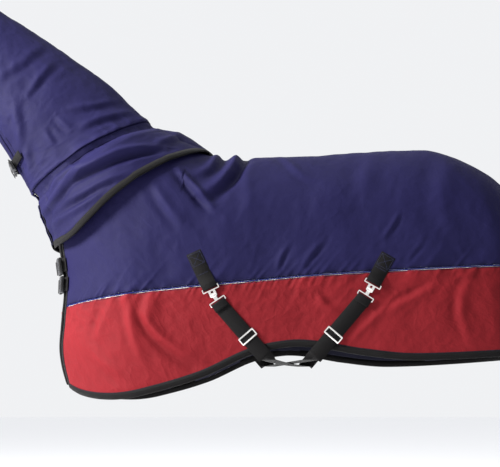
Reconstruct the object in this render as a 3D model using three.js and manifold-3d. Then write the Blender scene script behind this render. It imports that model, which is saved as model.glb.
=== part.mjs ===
// Turnout rug with a detachable neck cover, for a full-size horse.
// Millimetres. +X runs towards the tail, the near (left) side faces -Y, +Z is up.
// The origin is at the withers, on the inner face of the rug.
import * as THREE from 'three';
import Module from 'manifold-3d';
import { mergeVertices } from 'three/addons/utils/BufferGeometryUtils.js';

const wasm = await Module();
wasm.setup();

// Driving dimensions: the rug's body
const backLength = 1115; // withers to the dock, along X
const hipLength = 165; // where the quarters start to turn in, before the dock
const hipRound = 187; // how far the quarters reach behind hipX
const hipTurn = 62; // degrees that each side wraps round the quarters
const noseStart = 150; // how far before the withers the shoulder starts to turn in
const chestReach = 490; // withers to the front of the chest
const nearTurn = 67; // degrees that the near side wraps round the chest
const offTurn = 96; // the off side passes the middle of the chest
const bodyHalfWidth = 285; // at the barrel
const shoulderHalfWidth = 268;
const seamDepth = 475; // withers down to the seam between the upper and lower panels
const hemDepth = 690; // withers down to the hem at the girth
const necklineX = -60; // the neckline meets the spine here
const necklineDepth = 330; // at the chest

// Driving dimensions: the neck cover
const neckReach = 790; // withers to the head end, along X
const neckRise = 580; // withers up to the head end
const pollHalfWidth = 92;
const throatTurns = { // degrees from the crest to the throat edges, at the cape and at the head end
  near: [161, 140],
  off: [184, 200],
};
const capeTurns = { near: 161, off: 184 };
const tiltRoom = 0.035; // half of the gathered band, as a share of the neck's run
const bandGap = 0.008;

// Cloth, tape and clearances
const gap = 0.3;
const lining = 1.2;
const wadding = 8;
const outer = 1.5;
const capeLining = 5.5;
const capeClearance = 10;
const bindingWidth = 18;
const bindingProud = 0.6;
const bindingGap = 1.5;
const pipingRadius = 1.8;
const seamAllowance = 3.2;
const tapeWidth = 24;
const tapeThickness = 0.8;
const webbingThickness = 1.8;
const strapLift = 5.6; // middle of the surcingles above the outer cloth, at the sliders
const strapFootLift = 3; // and where they leave the hooks
const sewnLift = 4; // and on the off side, over the seam

// Fastenings
const chestWebbing = 48;
const throatWebbing = 32;
const surcingleWebbing = 50;
const chestClosureDepths = [401, 470];
const chestClosureTurn = 103; // degrees from the off side, round the front
const throatClosurePlaces = [0.54, 0.8];
const throatClosureTurn = 187; // degrees from the crest, round the off side
const frontPatchLength = 128;
const rearPatchLength = 104;
const hookTravel = 6;

// Tail flap
const flapLength = 350;
const flapHalfWidth = 150;
const flapThickness = 3;

const hipX = backLength - hipLength;

const DEG = Math.PI / 180;
const QUARTER = Math.PI / 2;
const quilt = lining + gap + wadding + gap + outer;
const cape = capeLining + gap + outer;

const finishes = {
  navy: { color: 0x2f3155, roughness: 0.8, metalness: 0 },
  red: { color: 0x8e2a2f, roughness: 0.8, metalness: 0 },
  blue: { color: 0x323c8c, roughness: 0.7, metalness: 0 },
  black: { color: 0x171520, roughness: 0.85, metalness: 0 },
  fill: { color: 0xe8e8e4, roughness: 0.95, metalness: 0 },
  liner: { color: 0x24242c, roughness: 0.6, metalness: 0 },
  plastic: { color: 0x141416, roughness: 0.4, metalness: 0 },
  nickel: { color: 0xd4d4d0, roughness: 0.2, metalness: 1 },
};

const rug = new THREE.Group();
const neckCover = new THREE.Group();
rug.add(neckCover);

// ---------------------------------------------------------------- solids

function lerp(a, b, t) {
  return a + (b - a) * t;
}

function steps(from, to, count) {
  return Array.from({ length: count + 1 }, (_, i) => lerp(from, to, i / count));
}

// Smooth curve through points of rising x, straight beyond its ends.
function curve(points) {
  const last = points.length - 1;
  const slopes = points.map((_, i) => {
    const a = points[Math.max(0, i - 1)];
    const b = points[Math.min(last, i + 1)];
    return (b[1] - a[1]) / (b[0] - a[0]);
  });
  return (x) => {
    let i = 0;
    while (i < last - 1 && x > points[i + 1][0]) i += 1;
    const [x0, y0] = points[i];
    const [x1, y1] = points[i + 1];
    const h = x1 - x0;
    const t = (x - x0) / h;
    if (t <= 0) return y0 + slopes[i] * (x - x0);
    if (t >= 1) return y1 + slopes[i + 1] * (x - x1);
    const rise = 3 * t * t - 2 * t * t * t;
    const lead = t * (1 - t) * (1 - t) * h * slopes[i];
    const trail = t * t * (t - 1) * h * slopes[i + 1];
    return y0 + (y1 - y0) * rise + lead + trail;
  };
}

function signedVolume(positions, triangles) {
  let total = 0;
  for (let k = 0; k < triangles.length; k += 3) {
    const [a, b, c] = [0, 1, 2].map((m) => positions[triangles[k + m]]);
    total += a.dot(b.clone().cross(c));
  }
  return total / 6;
}

function closedGeometry(positions, triangles) {
  if (signedVolume(positions, triangles) < 0) {
    for (let k = 0; k < triangles.length; k += 3) {
      [triangles[k + 1], triangles[k + 2]] = [triangles[k + 2], triangles[k + 1]];
    }
  }
  const geometry = new THREE.BufferGeometry();
  geometry.setFromPoints(positions);
  geometry.setIndex(triangles);
  geometry.computeVertexNormals();
  return geometry;
}

// Closed sheet between two grids of points of the same size.
function shell(inside, outside) {
  const rows = inside.length;
  const columns = inside[0].length;
  const positions = [...inside.flat(), ...outside.flat()];
  const triangles = [];
  const at = (layer, i, j) => layer * rows * columns + i * columns + j;
  const quad = (a, b, c, d) => triangles.push(a, b, c, a, c, d);
  for (let i = 0; i < rows - 1; i += 1) {
    for (let j = 0; j < columns - 1; j += 1) {
      quad(at(0, i, j), at(0, i, j + 1), at(0, i + 1, j + 1), at(0, i + 1, j));
      // The same diagonal as on the inner face keeps neighbouring layers parallel.
      triangles.push(at(1, i, j), at(1, i + 1, j + 1), at(1, i, j + 1));
      triangles.push(at(1, i, j), at(1, i + 1, j), at(1, i + 1, j + 1));
    }
  }
  for (let i = 0; i < rows - 1; i += 1) {
    quad(at(0, i, 0), at(0, i + 1, 0), at(1, i + 1, 0), at(1, i, 0));
    const j = columns - 1;
    quad(at(0, i + 1, j), at(0, i, j), at(1, i, j), at(1, i + 1, j));
  }
  for (let j = 0; j < columns - 1; j += 1) {
    quad(at(0, 0, j + 1), at(0, 0, j), at(1, 0, j), at(1, 0, j + 1));
    quad(at(0, rows - 1, j), at(0, rows - 1, j + 1), at(1, rows - 1, j + 1), at(1, rows - 1, j));
  }
  return closedGeometry(positions, triangles);
}

// Solid through a row of convex rings with the same number of points.
function loft(rings) {
  const sides = rings[0].length;
  const triangles = [];
  for (let i = 0; i < rings.length - 1; i += 1) {
    const here = i * sides;
    const next = here + sides;
    for (let k = 0; k < sides; k += 1) {
      const m = (k + 1) % sides;
      triangles.push(here + k, here + m, next + m);
      triangles.push(here + k, next + m, next + k);
    }
  }
  const last = (rings.length - 1) * sides;
  for (let k = 1; k < sides - 1; k += 1) {
    triangles.push(0, k + 1, k);
    triangles.push(last, last + k, last + k + 1);
  }
  return closedGeometry(rings.flat(), triangles);
}

function tangents(points) {
  return points.map((p, i) => {
    const before = i > 0 ? p.clone().sub(points[i - 1]).normalize() : null;
    const after = i < points.length - 1 ? points[i + 1].clone().sub(p).normalize() : null;
    if (!before) return after;
    if (!after) return before;
    return before.add(after).normalize();
  });
}

// How much longer an offset is at a corner, so that the strip keeps its width there.
function mitre(points, i) {
  if (i === 0 || i === points.length - 1) return 1;
  const before = points[i].clone().sub(points[i - 1]).normalize();
  const after = points[i + 1].clone().sub(points[i]).normalize();
  return 1 / Math.sqrt((1 + before.dot(after)) / 2);
}

// Flat webbing along points, with the direction of its width at each of them.
function webbing(points, widthDirections, width, thickness = webbingThickness) {
  const along = tangents(points);
  const rings = points.map((p, i) => {
    const across = widthDirections[i].clone().normalize();
    const normal = across.clone().cross(along[i]).normalize();
    normal.multiplyScalar((mitre(points, i) * thickness) / 2);
    across.multiplyScalar(width / 2);
    return [
      p.clone().sub(across).sub(normal),
      p.clone().add(across).sub(normal),
      p.clone().add(across).add(normal),
      p.clone().sub(across).add(normal),
    ];
  });
  return loft(rings);
}

// Tape folded round an open edge: it stands outwards from the edge by its width.
function edging(edge, normals, handed, width, low, high) {
  const spans = edge.slice(1).map((p, i) => p.clone().sub(edge[i]).normalize());
  const outOf = (span, normal) => span.clone().cross(normal).multiplyScalar(handed).normalize();
  const rings = edge.map((p, i) => {
    const before = outOf(spans[Math.max(0, i - 1)], normals[i]);
    const after = outOf(spans[Math.min(spans.length - 1, i)], normals[i]);
    const reach = before.clone().add(after).normalize();
    reach.multiplyScalar(1 / Math.max(0.5, reach.dot(after)));
    const normal = normals[i].clone();
    if (Math.abs(p.y) < 2 * gap) {
      // An end on the spine stays on it, clear of the other side's end.
      reach.setY(0);
      normal.setY(0);
    }
    const corner = (e, n) => p.clone().addScaledVector(reach, e).addScaledVector(normal, n);
    return [corner(bindingGap, low), corner(width, low), corner(width, high), corner(bindingGap, high)];
  });
  return loft(rings);
}

function toManifold(geometry) {
  const bare = geometry.clone();
  bare.deleteAttribute('normal');
  bare.deleteAttribute('uv');
  const merged = mergeVertices(bare, 1e-4);
  const mesh = new wasm.Mesh({
    numProp: 3,
    vertProperties: new Float32Array(merged.attributes.position.array),
    triVerts: new Uint32Array(merged.index.array),
  });
  return new wasm.Manifold(mesh);
}

function fromManifold(solid) {
  const mesh = solid.getMesh();
  const geometry = new THREE.BufferGeometry();
  geometry.setAttribute('position', new THREE.BufferAttribute(new Float32Array(mesh.vertProperties), 3));
  geometry.setIndex(new THREE.BufferAttribute(new Uint32Array(mesh.triVerts), 1));
  geometry.computeVertexNormals();
  return geometry;
}

function joined(pieces, cuts = []) {
  let solid = toManifold(pieces[0]);
  for (const piece of pieces.slice(1)) solid = solid.add(toManifold(piece));
  for (const cut of cuts) solid = solid.subtract(toManifold(cut));
  return fromManifold(solid);
}

// Box between two corners.
function block(low, high) {
  const size = high.map((h, i) => h - low[i]);
  const geometry = new THREE.BoxGeometry(...size);
  geometry.translate(...high.map((h, i) => (h + low[i]) / 2));
  return geometry;
}

// Plate with rounded corners between two corners in XY, extruded between two heights.
function plate(low, high, radius, bottom, top) {
  const shape = new THREE.Shape();
  const [x0, y0] = low;
  const [x1, y1] = high;
  shape.moveTo(x0 + radius, y0);
  shape.lineTo(x1 - radius, y0);
  shape.absarc(x1 - radius, y0 + radius, radius, -QUARTER, 0);
  shape.lineTo(x1, y1 - radius);
  shape.absarc(x1 - radius, y1 - radius, radius, 0, QUARTER);
  shape.lineTo(x0 + radius, y1);
  shape.absarc(x0 + radius, y1 - radius, radius, QUARTER, 2 * QUARTER);
  shape.lineTo(x0, y0 + radius);
  shape.absarc(x0 + radius, y0 + radius, radius, 2 * QUARTER, 3 * QUARTER);
  const depth = top - bottom;
  const geometry = new THREE.ExtrudeGeometry(shape, { depth, bevelEnabled: false, curveSegments: 2 });
  geometry.translate(0, 0, bottom);
  return geometry;
}

function addPart(group, name, finish, geometry) {
  const mesh = new THREE.Mesh(geometry, new THREE.MeshStandardMaterial(finishes[finish]));
  mesh.name = name;
  group.add(mesh);
  return mesh;
}

// ---------------------------------------------------------------- the rug's body

// Height of the spine, rising into the neck before the withers.
const topline = curve([
  [-560, 400],
  [-200, 115],
  [necklineX, 32],
  [20, 0],
  [90, -12],
  [350, -4],
  [0.7 * backLength, 18],
  [0.77 * backLength, 6],
  [0.9 * backLength, -62],
  [backLength, -140],
]);

// Depth over which the back rounds over into the upright side.
const rounding = curve([
  [-200, 330],
  [150, 290],
  [500, 262],
  [900, 240],
  [backLength, 235],
]);

const halfWidthAt = curve([
  [-noseStart, shoulderHalfWidth],
  [-20, bodyHalfWidth - 4],
  [250, bodyHalfWidth],
  [800, bodyHalfWidth - 3],
  [backLength, bodyHalfWidth - 22],
]);

// How far the chest reaches forward, by height.
const chestAt = curve([
  [-880, chestReach - 48],
  [-770, chestReach - 8],
  [-690, chestReach + 8],
  [-600, chestReach + 4],
  [-460, chestReach],
  [-400, chestReach + 10],
  [-340, chestReach + 22],
]);

const seamHeight = curve([
  [-chestReach, -seamDepth - 78],
  [-195, -seamDepth - 45],
  [100, -seamDepth - 18],
  [400, -seamDepth + 8],
  [backLength, -seamDepth + 50],
]);

const hemHeight = curve([
  [-chestReach - 25, -hemDepth - 85],
  [-chestReach + 15, -hemDepth - 116],
  [-chestReach + 76, -hemDepth - 147],
  [-300, -hemDepth - 160],
  [-190, -hemDepth - 148],
  [0, -hemDepth - 94],
  [165, -hemDepth - 20],
  [290, -hemDepth + 6],
  [386, -hemDepth + 3],
  [525, -hemDepth - 20],
  [700, -hemDepth - 36],
  [backLength, -hemDepth - 16],
]);

const necklineHeight = curve([
  [-chestReach - 25, -necklineDepth],
  [-430, -necklineDepth + 92],
  [-300, -necklineDepth + 195],
  [-150, -necklineDepth + 305],
  [necklineX, topline(necklineX)],
]);

// Place along the rug: negative values are radians round the chest, 0 to 1 is the straight side,
// and what is past 1 is radians round the quarters.
function station(t, height) {
  if (t < 0) {
    return { x: -noseStart - (chestAt(height) - noseStart) * Math.sin(-t), wrap: Math.cos(t) };
  }
  if (t > 1) return { x: hipX + hipRound * Math.sin(t - 1), wrap: Math.cos(t - 1) };
  return { x: lerp(-noseStart, hipX, t), wrap: 1 };
}

function nominalX(t) {
  return station(t, -seamDepth).x;
}

// Place down the side: 0 at the spine, 1 where the side is upright, and on at the same pace.
function placeOfHeight(x, height) {
  const drop = Math.max(0, topline(x) - height);
  const round = rounding(x);
  return drop < round ? Math.acos(1 - drop / round) / QUARTER : 1 + (drop - round) / (round * QUARTER);
}

function heightOfPlace(x, q) {
  const round = rounding(x);
  const drop = q < 1 ? round * (1 - Math.cos(q * QUARTER)) : round + (q - 1) * round * QUARTER;
  return topline(x) - drop;
}

// Point of the inner face. side is -1 on the near side and 1 on the off side.
function formPoint(side, t, q) {
  const x0 = nominalX(t);
  const z = heightOfPlace(x0, q);
  const { x, wrap } = station(t, z);
  const out = q < 1 ? Math.sin(q * QUARTER) : 1;
  return new THREE.Vector3(x, side * (halfWidthAt(x0) * out * wrap + gap / 2), z);
}

function formNormal(side, t, q) {
  const step = 1e-3;
  const alongStep = t > 0 && t < 1 ? step : Math.sign(t || -1) * -step;
  const downStep = q > 0.5 ? -step : step;
  const here = formPoint(side, t, q);
  const along = formPoint(side, t + alongStep, q).sub(here).divideScalar(alongStep);
  const down = formPoint(side, t, q + downStep).sub(here).divideScalar(downStep);
  return along.cross(down).multiplyScalar(side).normalize();
}

function onForm(side, t, q, lift) {
  return formPoint(side, t, q).addScaledVector(formNormal(side, t, q), lift);
}

function placesAt(t) {
  const x = nominalX(t);
  const seam = placeOfHeight(x, seamHeight(x));
  const allowance = seamAllowance / (rounding(x) * QUARTER);
  return {
    top: x < necklineX ? placeOfHeight(x, necklineHeight(x)) : 0,
    aboveSeam: seam - allowance,
    seam,
    belowSeam: seam + allowance,
    hem: placeOfHeight(x, hemHeight(x)),
  };
}

const straight = [-noseStart, necklineX, 20, 90, 260, 430, 600, 780, 870, hipX];

function stations(side) {
  const turn = (side < 0 ? nearTurn : offTurn) * DEG;
  return [
    ...steps(-turn, 0, side < 0 ? 4 : 6).slice(0, -1),
    ...straight.map((x) => (x + noseStart) / (hipX + noseStart)),
    ...steps(1, 1 + hipTurn * DEG, 3).slice(1),
  ];
}

const upperRows = (p) => steps(p.top, p.aboveSeam, 5);
const lowerRows = (p) => steps(p.belowSeam, p.hem, 3);
const allRows = (p) => [...upperRows(p), ...lowerRows(p)];

function bodyGrid(side, rows, lift) {
  return stations(side).map((t) => rows(placesAt(t)).map((q) => onForm(side, t, q, lift)));
}

function bodyLayer(side, rows, low, high) {
  return shell(bodyGrid(side, rows, low), bodyGrid(side, rows, high));
}

function bodyBinding(side) {
  const row = stations(side);
  const front = row[0];
  const rear = row[row.length - 1];
  const neck = row.filter((t) => nominalX(t) <= necklineX + 1);
  const path = [
    ...allRows(placesAt(rear)).map((q) => [rear, q]),
    ...[...row].reverse().slice(1, -1).map((t) => [t, placesAt(t).hem]),
    ...allRows(placesAt(front)).reverse().map((q) => [front, q]),
    ...neck.slice(1).map((t) => [t, placesAt(t).top]),
  ];
  const edge = path.map(([t, q]) => onForm(side, t, q, 0));
  const normals = path.map(([t, q]) => formNormal(side, t, q));
  return edging(edge, normals, side, bindingWidth, -bindingProud, quilt + bindingProud);
}

function pipingCord(side) {
  const lift = quilt - outer + pipingRadius + gap;
  const rings = stations(side).map((t) => {
    const q = placesAt(t).seam;
    const centre = onForm(side, t, q, lift);
    const normal = formNormal(side, t, q);
    return steps(0, 2 * Math.PI, 6).slice(0, -1).map((a) =>
      centre.clone()
        .addScaledVector(normal, pipingRadius * Math.cos(a))
        .add(new THREE.Vector3(0, 0, pipingRadius * Math.sin(a))));
  });
  return loft(rings);
}

function spineTape() {
  const row = stations(-1).filter((t) => nominalX(t) >= necklineX - 1);
  const points = row.slice(1, -1).map((t) => onForm(-1, t, 0, quilt + gap + tapeThickness).setY(0));
  return webbing(points, points.map(() => new THREE.Vector3(0, 1, 0)), tapeWidth, tapeThickness);
}

for (const [side, name] of [[-1, 'near'], [1, 'off']]) {
  const waddingLow = lining + gap;
  const outerLow = waddingLow + wadding + gap;
  addPart(rug, `body_lining_${name}`, 'liner', bodyLayer(side, allRows, 0, lining));
  addPart(rug, `body_wadding_${name}`, 'fill', bodyLayer(side, allRows, waddingLow, waddingLow + wadding));
  addPart(rug, `upper_panel_${name}`, 'navy', bodyLayer(side, upperRows, outerLow, quilt));
  addPart(rug, `lower_panel_${name}`, 'red', bodyLayer(side, lowerRows, outerLow, quilt));
  addPart(rug, `seam_piping_${name}`, 'blue', pipingCord(side));
  addPart(rug, `body_binding_${name}`, 'black', bodyBinding(side));
}
addPart(rug, 'spine_tape', 'black', spineTape());

// ---------------------------------------------------------------- the neck cover

// Rings from the cape's rear edge (0) to the head end (1): crest, throat and half width.
const seamRun = 0.27;
const crestX = curve([[0, 12], [0.14, -85], [seamRun, -188], [0.55, -400], [1, -neckReach]]);
const crestZ = curve([[0, 25], [0.14, 92], [seamRun, 116], [0.55, 306], [1, neckRise]]);
const throatX = curve([
  [0, -chestReach - 60],
  [0.14, -585],
  [seamRun, -614],
  [0.55, -696],
  [1, -neckReach - 115],
]);
const throatZ = curve([
  [0, -necklineDepth + 12],
  [0.14, -238],
  [seamRun, -146],
  [0.55, -14],
  [1, neckRise - 262],
]);
const neckHalfWidth = curve([[0, 205], [0.14, 178], [seamRun, 150], [0.55, 116], [1, pollHalfWidth]]);
const cornerDrop = curve([[0, 44], [0.14, 22], [seamRun, 0], [1, 0]]);

// Half width of the rug's inner face in side view.
function formHalfWidth(x, z) {
  const q = placeOfHeight(x, z);
  const out = q < 1 ? Math.sin(q * QUARTER) : 1;
  const turn = Math.max(0, -noseStart - x) / (chestAt(z) - noseStart);
  return turn < 1 ? halfWidthAt(Math.max(x, -noseStart)) * out * Math.sqrt(1 - turn * turn) : 0;
}

// Point of the neck cover's inner face. The angle is 0 at the crest, negative on the near side.
function neckPoint(s, angle) {
  const share = (1 - Math.cos(angle)) / 2;
  const drop = cornerDrop(s) * Math.sin(Math.PI * Math.min(1, share) ** 4);
  const x = lerp(crestX(s), throatX(s), share) + drop * 0.55;
  const z = lerp(crestZ(s), throatZ(s), share) - drop * 0.83;
  const own = neckHalfWidth(s) * Math.abs(Math.sin(angle));
  const lift = quilt + capeClearance;
  const covered = Math.max(0, seamRun - s) / seamRun;
  const beneath = covered > 0 ? formHalfWidth(x + lift, z - lift) : 0;
  const wide = beneath > 0 ? beneath + lift : 0;
  const most = Math.max(own, lerp(own, wide, Math.min(1, 3 * covered)));
  return new THREE.Vector3(x, Math.sign(Math.sin(angle)) * most, z);
}

function neckNormal(s, angle) {
  const step = 1e-3;
  const alongStep = s > 0.5 ? -step : step;
  const here = neckPoint(s, angle);
  const along = neckPoint(s + alongStep, angle).sub(here).divideScalar(alongStep);
  const round = neckPoint(s, angle + step).sub(neckPoint(s, angle - step));
  return round.cross(along).normalize();
}

function onNeck(s, angle, lift) {
  return neckPoint(s, angle).addScaledVector(neckNormal(s, angle), lift);
}

// Angles are functions of the run, in degrees.
function neckGrid(runs, angles, lift) {
  return runs.map((s) => angles.map((angleAt) => onNeck(s, angleAt(s) * DEG, lift)));
}

function neckLayer(runs, angles, low, high) {
  return shell(neckGrid(runs, angles, low), neckGrid(runs, angles, high));
}

const crestGap = 0.12; // degrees

// Rows of places from the crest to a throat edge, whose turn changes along the neck.
function anglesTo([atCape, atHead], way, count) {
  const turnAt = (s) => lerp(atCape, atHead, Math.max(0, (s - seamRun) / (1 - seamRun)));
  const row = steps(0, 1, count).map((share) => (s) => way * lerp(crestGap, turnAt(s), share));
  return way < 0 ? row.reverse() : row;
}

// Tape along a row of places on the neck cover, each a run and an angle in degrees.
function neckBinding(path, handed, thickness) {
  const edge = path.map(([s, angle]) => onNeck(s, angle * DEG, 0));
  const normals = path.map(([s, angle]) => neckNormal(s, angle * DEG));
  return edging(edge, normals, handed, bindingWidth, -bindingProud, thickness + bindingProud);
}

const capeRuns = steps(0, seamRun - tiltRoom, 3);
const bandRuns = [seamRun - tiltRoom + bandGap, seamRun + tiltRoom - bandGap];
const neckRuns = steps(seamRun + tiltRoom, 1, 5);

function capeBinding(angles, handed) {
  const rim = handed < 0 ? [...angles].reverse() : angles;
  return neckBinding(rim.map((angleAt) => [0, angleAt(0)]), handed, cape);
}

const nearCape = anglesTo([capeTurns.near, capeTurns.near], -1, 9);
const offCape = anglesTo([capeTurns.off, capeTurns.off], 1, 10);
const wholeCape = [...nearCape, ...offCape];
addPart(rug, 'cape_lining', 'liner', neckLayer(capeRuns, wholeCape, 0, capeLining));
addPart(rug, 'cape_outer_near', 'navy', neckLayer(capeRuns, nearCape, capeLining + gap, cape));
addPart(rug, 'cape_outer_off', 'navy', neckLayer(capeRuns, offCape, capeLining + gap, cape));
addPart(rug, 'cape_binding_near', 'black', capeBinding(nearCape, -1));
addPart(rug, 'cape_binding_off', 'black', capeBinding(offCape, 1));

const nearNeck = anglesTo(throatTurns.near, -1, 7);
const offNeck = anglesTo(throatTurns.off, 1, 8);
const wholeNeck = [...nearNeck, ...offNeck];
addPart(rug, 'gathered_band', 'navy', neckLayer(bandRuns, wholeNeck, gap, cape));

const neckWaddingLow = lining + gap;
const neckOuterLow = neckWaddingLow + wadding + gap;
addPart(neckCover, 'neck_lining', 'liner', neckLayer(neckRuns, wholeNeck, 0, lining));
addPart(neckCover, 'neck_wadding', 'fill',
  neckLayer(neckRuns, wholeNeck, neckWaddingLow, neckWaddingLow + wadding));
addPart(neckCover, 'neck_outer_near', 'navy', neckLayer(neckRuns, nearNeck, neckOuterLow, quilt));
addPart(neckCover, 'neck_outer_off', 'navy', neckLayer(neckRuns, offNeck, neckOuterLow, quilt));
const throatEdge = (angleAt) => neckRuns.map((s) => [s, angleAt(s)]);
const neckEdge = [
  ...throatEdge(wholeNeck[0]),
  ...wholeNeck.slice(1, -1).map((angleAt) => [1, angleAt(1)]),
  ...throatEdge(wholeNeck[wholeNeck.length - 1]).reverse(),
];
addPart(neckCover, 'neck_binding', 'navy', neckBinding(neckEdge, -1, quilt));

// ---------------------------------------------------------------- tail flap

// Back of the rug in side view, from the flap's top seam down.
function tailFlap() {
  const top = topline(backLength - 14) + quilt + 2 * gap + flapThickness;
  const rear = backLength + bindingWidth + quilt + 8;
  const spine = [
    [backLength - 14, top],
    [backLength + 20, top - 14],
    [rear - 4, top - 44],
    [rear, top - 110],
    [rear, top - 220],
    [rear - 3, top - flapLength],
  ];
  const widths = [0.68, 0.76, 0.84, 0.9, 0.96, 1].map((share) => share * flapHalfWidth);
  const point = (i, across, lift) => {
    const [x, z] = spine[i];
    const [x0, z0] = spine[Math.max(0, i - 1)];
    const [x1, z1] = spine[Math.min(spine.length - 1, i + 1)];
    const out = new THREE.Vector3(-(z1 - z0), 0, x1 - x0).normalize();
    const bow = 10 * across * across;
    return new THREE.Vector3(x, across * widths[i], z).addScaledVector(out, lift - bow);
  };
  const grid = (lift) => spine.map((_, i) => steps(-1, 1, 6).map((across) => point(i, across, lift)));
  const path = [
    ...steps(0, 5, 5).map((i) => [i, -1]),
    ...steps(-1, 1, 6).slice(1, -1).map((across) => [5, across]),
    ...steps(5, 0, 5).map((i) => [i, 1]),
  ];
  const edge = path.map(([i, across]) => point(i, across, 0));
  const normals = path.map(([i, across]) => point(i, across, 1).sub(point(i, across, 0)));
  const tape = edging(edge, normals, 1, bindingWidth, -bindingProud, flapThickness + bindingProud);
  return { cloth: shell(grid(0), grid(flapThickness)), tape };
}

const flap = tailFlap();
addPart(rug, 'tail_flap', 'navy', flap.cloth);
addPart(rug, 'tail_flap_binding', 'black', flap.tape);

// ---------------------------------------------------------------- side-release closures

// Group whose X runs along `along`, with Z along `out`, at a place.
function framed(parent, place, along, out) {
  const group = new THREE.Group();
  const x = along.clone().normalize();
  const z = out.clone().addScaledVector(x, -out.dot(x)).normalize();
  group.setRotationFromMatrix(new THREE.Matrix4().makeBasis(x, z.clone().cross(x), z));
  group.position.copy(place);
  parent.add(group);
  return group;
}

// Webbing folded round a bar whose middle is at x, with legs that end at the two places.
function foldedWebbing(barX, barWidth, barHeight, frontEnd, path, width) {
  const away = Math.sign(frontEnd - barX);
  const lift = barHeight / 2 + gap + webbingThickness / 2;
  const turn = barX - away * (barWidth / 2 + gap + webbingThickness / 2);
  const points = [
    new THREE.Vector3(frontEnd, 0, lift),
    new THREE.Vector3(turn, 0, lift),
    new THREE.Vector3(turn, 0, -lift),
    ...path,
  ];
  return webbing(points, points.map(() => new THREE.Vector3(0, 1, 0)), width);
}

// Buckle in its own frame: X from the plug's webbing to the socket's, Y across, Z outwards.
// The socket's mouth is at 0 and its cavity ends at `reach`.
const buckle = {
  bar: 6, // webbing bars, along X
  slot: 6, // webbing openings, along X
  rail: 5,
  thickness: 12,
  wall: 2.6,
  cap: 4, // the socket's closed end
  barHeight: 7,
  reach: 32,
  window: [11, 27], // side openings that show the arms' tips
  plugBase: 6,
  plugGap: 2, // between the plug's base and the socket's mouth
  tongueWidth: 8,
  tongueHeight: 4.8,
  clearance: 0.5,
};
const arm = { root: -1, width: 5, inset: 3, lean: 1, tip: 26, hookBack: 13, proud: 1.2 };
const foldedLeg = 24; // webbing's free end in front of a buckle

const plugFrame = -buckle.plugGap - buckle.plugBase - buckle.slot - buckle.bar;
const plugBar = plugFrame + buckle.bar / 2;
const socketEnd = buckle.reach + buckle.cap + buckle.slot + buckle.bar;
const socketBar = socketEnd - buckle.bar / 2;

function buckleSocket(half) {
  const { bar, rail, thickness, wall, cap, barHeight, reach, window } = buckle;
  const top = thickness / 2;
  const side = half - rail;
  const body = plate([0, -half], [reach + cap, half], 4, -top, top);
  const tail = plate([reach, -half], [socketEnd, half], 2.5, -barHeight / 2, barHeight / 2);
  const cavity = block([-1, -side, wall - top], [reach, side, top - wall]);
  const sides = block([window[0], -half - 1, wall - top], [window[1], half + 1, top - wall]);
  const opening = block([reach + cap, -side, -barHeight], [socketEnd - bar, side, barHeight]);
  return joined([body, tail], [cavity, sides, opening]);
}

function bucklePlug(half) {
  const { bar, slot, rail, thickness, barHeight, reach } = buckle;
  const { plugBase, plugGap, tongueWidth, tongueHeight } = buckle;
  const top = thickness / 2;
  const side = half - rail;
  const back = -plugGap - plugBase;
  const base = plate([back, -half], [-plugGap, half], 1.5, -top, top);
  const frame = plate([plugFrame, -half], [back + 4, half], 2.5, -barHeight / 2, barHeight / 2);
  const tongue = plate([-plugGap - 1, -tongueWidth / 2], [reach - 4, tongueWidth / 2], 1.5,
    -tongueHeight / 2, tongueHeight / 2);
  const opening = block([plugFrame + bar, -side, -barHeight], [plugFrame + bar + slot, side, barHeight]);
  return joined([base, frame, tongue], [opening]);
}

function buckleArm(half, handed) {
  const { rail, thickness, wall, window, clearance } = buckle;
  const { root, width, inset, lean, tip, hookBack, proud } = arm;
  const height = thickness / 2 - wall - clearance;
  const inner = half - rail - width - inset;
  const outline = [
    [root, inner],
    [tip, inner + lean],
    [tip - clearance, half - inset],
    [tip - inset, half - proud],
    [hookBack, half - proud],
    [window[0] + proud, inner + width],
    [root, inner + width],
  ];
  const shape = new THREE.Shape(outline.map(([x, y]) => new THREE.Vector2(x, y * handed)));
  const geometry = new THREE.ExtrudeGeometry(shape, { depth: 2 * height, bevelEnabled: false });
  geometry.translate(0, 0, -height);
  return geometry;
}

// A whole closure: two webbing ends that follow the cloth, socket, plug and its two arms.
// nearPath and offPath are world points that the webbing passes on its way to its sewn end.
function closure(parent, name, width, place, along, out, nearPath, offPath) {
  const half = width / 2 + buckle.rail + buckle.clearance;
  const group = framed(parent, place, along, out);
  group.updateMatrixWorld(true);
  const local = (p) => group.worldToLocal(p.clone()).setY(0);
  const near = nearPath.map(local);
  const off = offPath.map(local);
  addPart(group, `${name}_tab_near`, 'black',
    foldedWebbing(plugBar, buckle.bar, buckle.barHeight, plugBar - foldedLeg, near, width));
  addPart(group, `${name}_strap_off`, 'black',
    foldedWebbing(socketBar, buckle.bar, buckle.barHeight, socketBar + foldedLeg, off, width));
  addPart(group, `${name}_socket`, 'plastic', buckleSocket(half));
  addPart(group, `${name}_plug`, 'plastic', bucklePlug(half));
  addPart(group, `${name}_arm_upper`, 'plastic', buckleArm(half, -1));
  addPart(group, `${name}_arm_lower`, 'plastic', buckleArm(half, 1));
}

const chordRoom = 3.8; // for the cloth's curve between two points of a strap
const clothLift = quilt + bindingProud + webbingThickness / 2 + chordRoom;
const buckleRoom = 4.5;
const buckleLift = quilt + bindingProud + buckle.thickness / 2 + buckleRoom;

function chestPoint(turn, depth, lift) {
  const t = -turn * DEG;
  return onForm(1, t, placeOfHeight(nominalX(t), -depth), lift);
}

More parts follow.
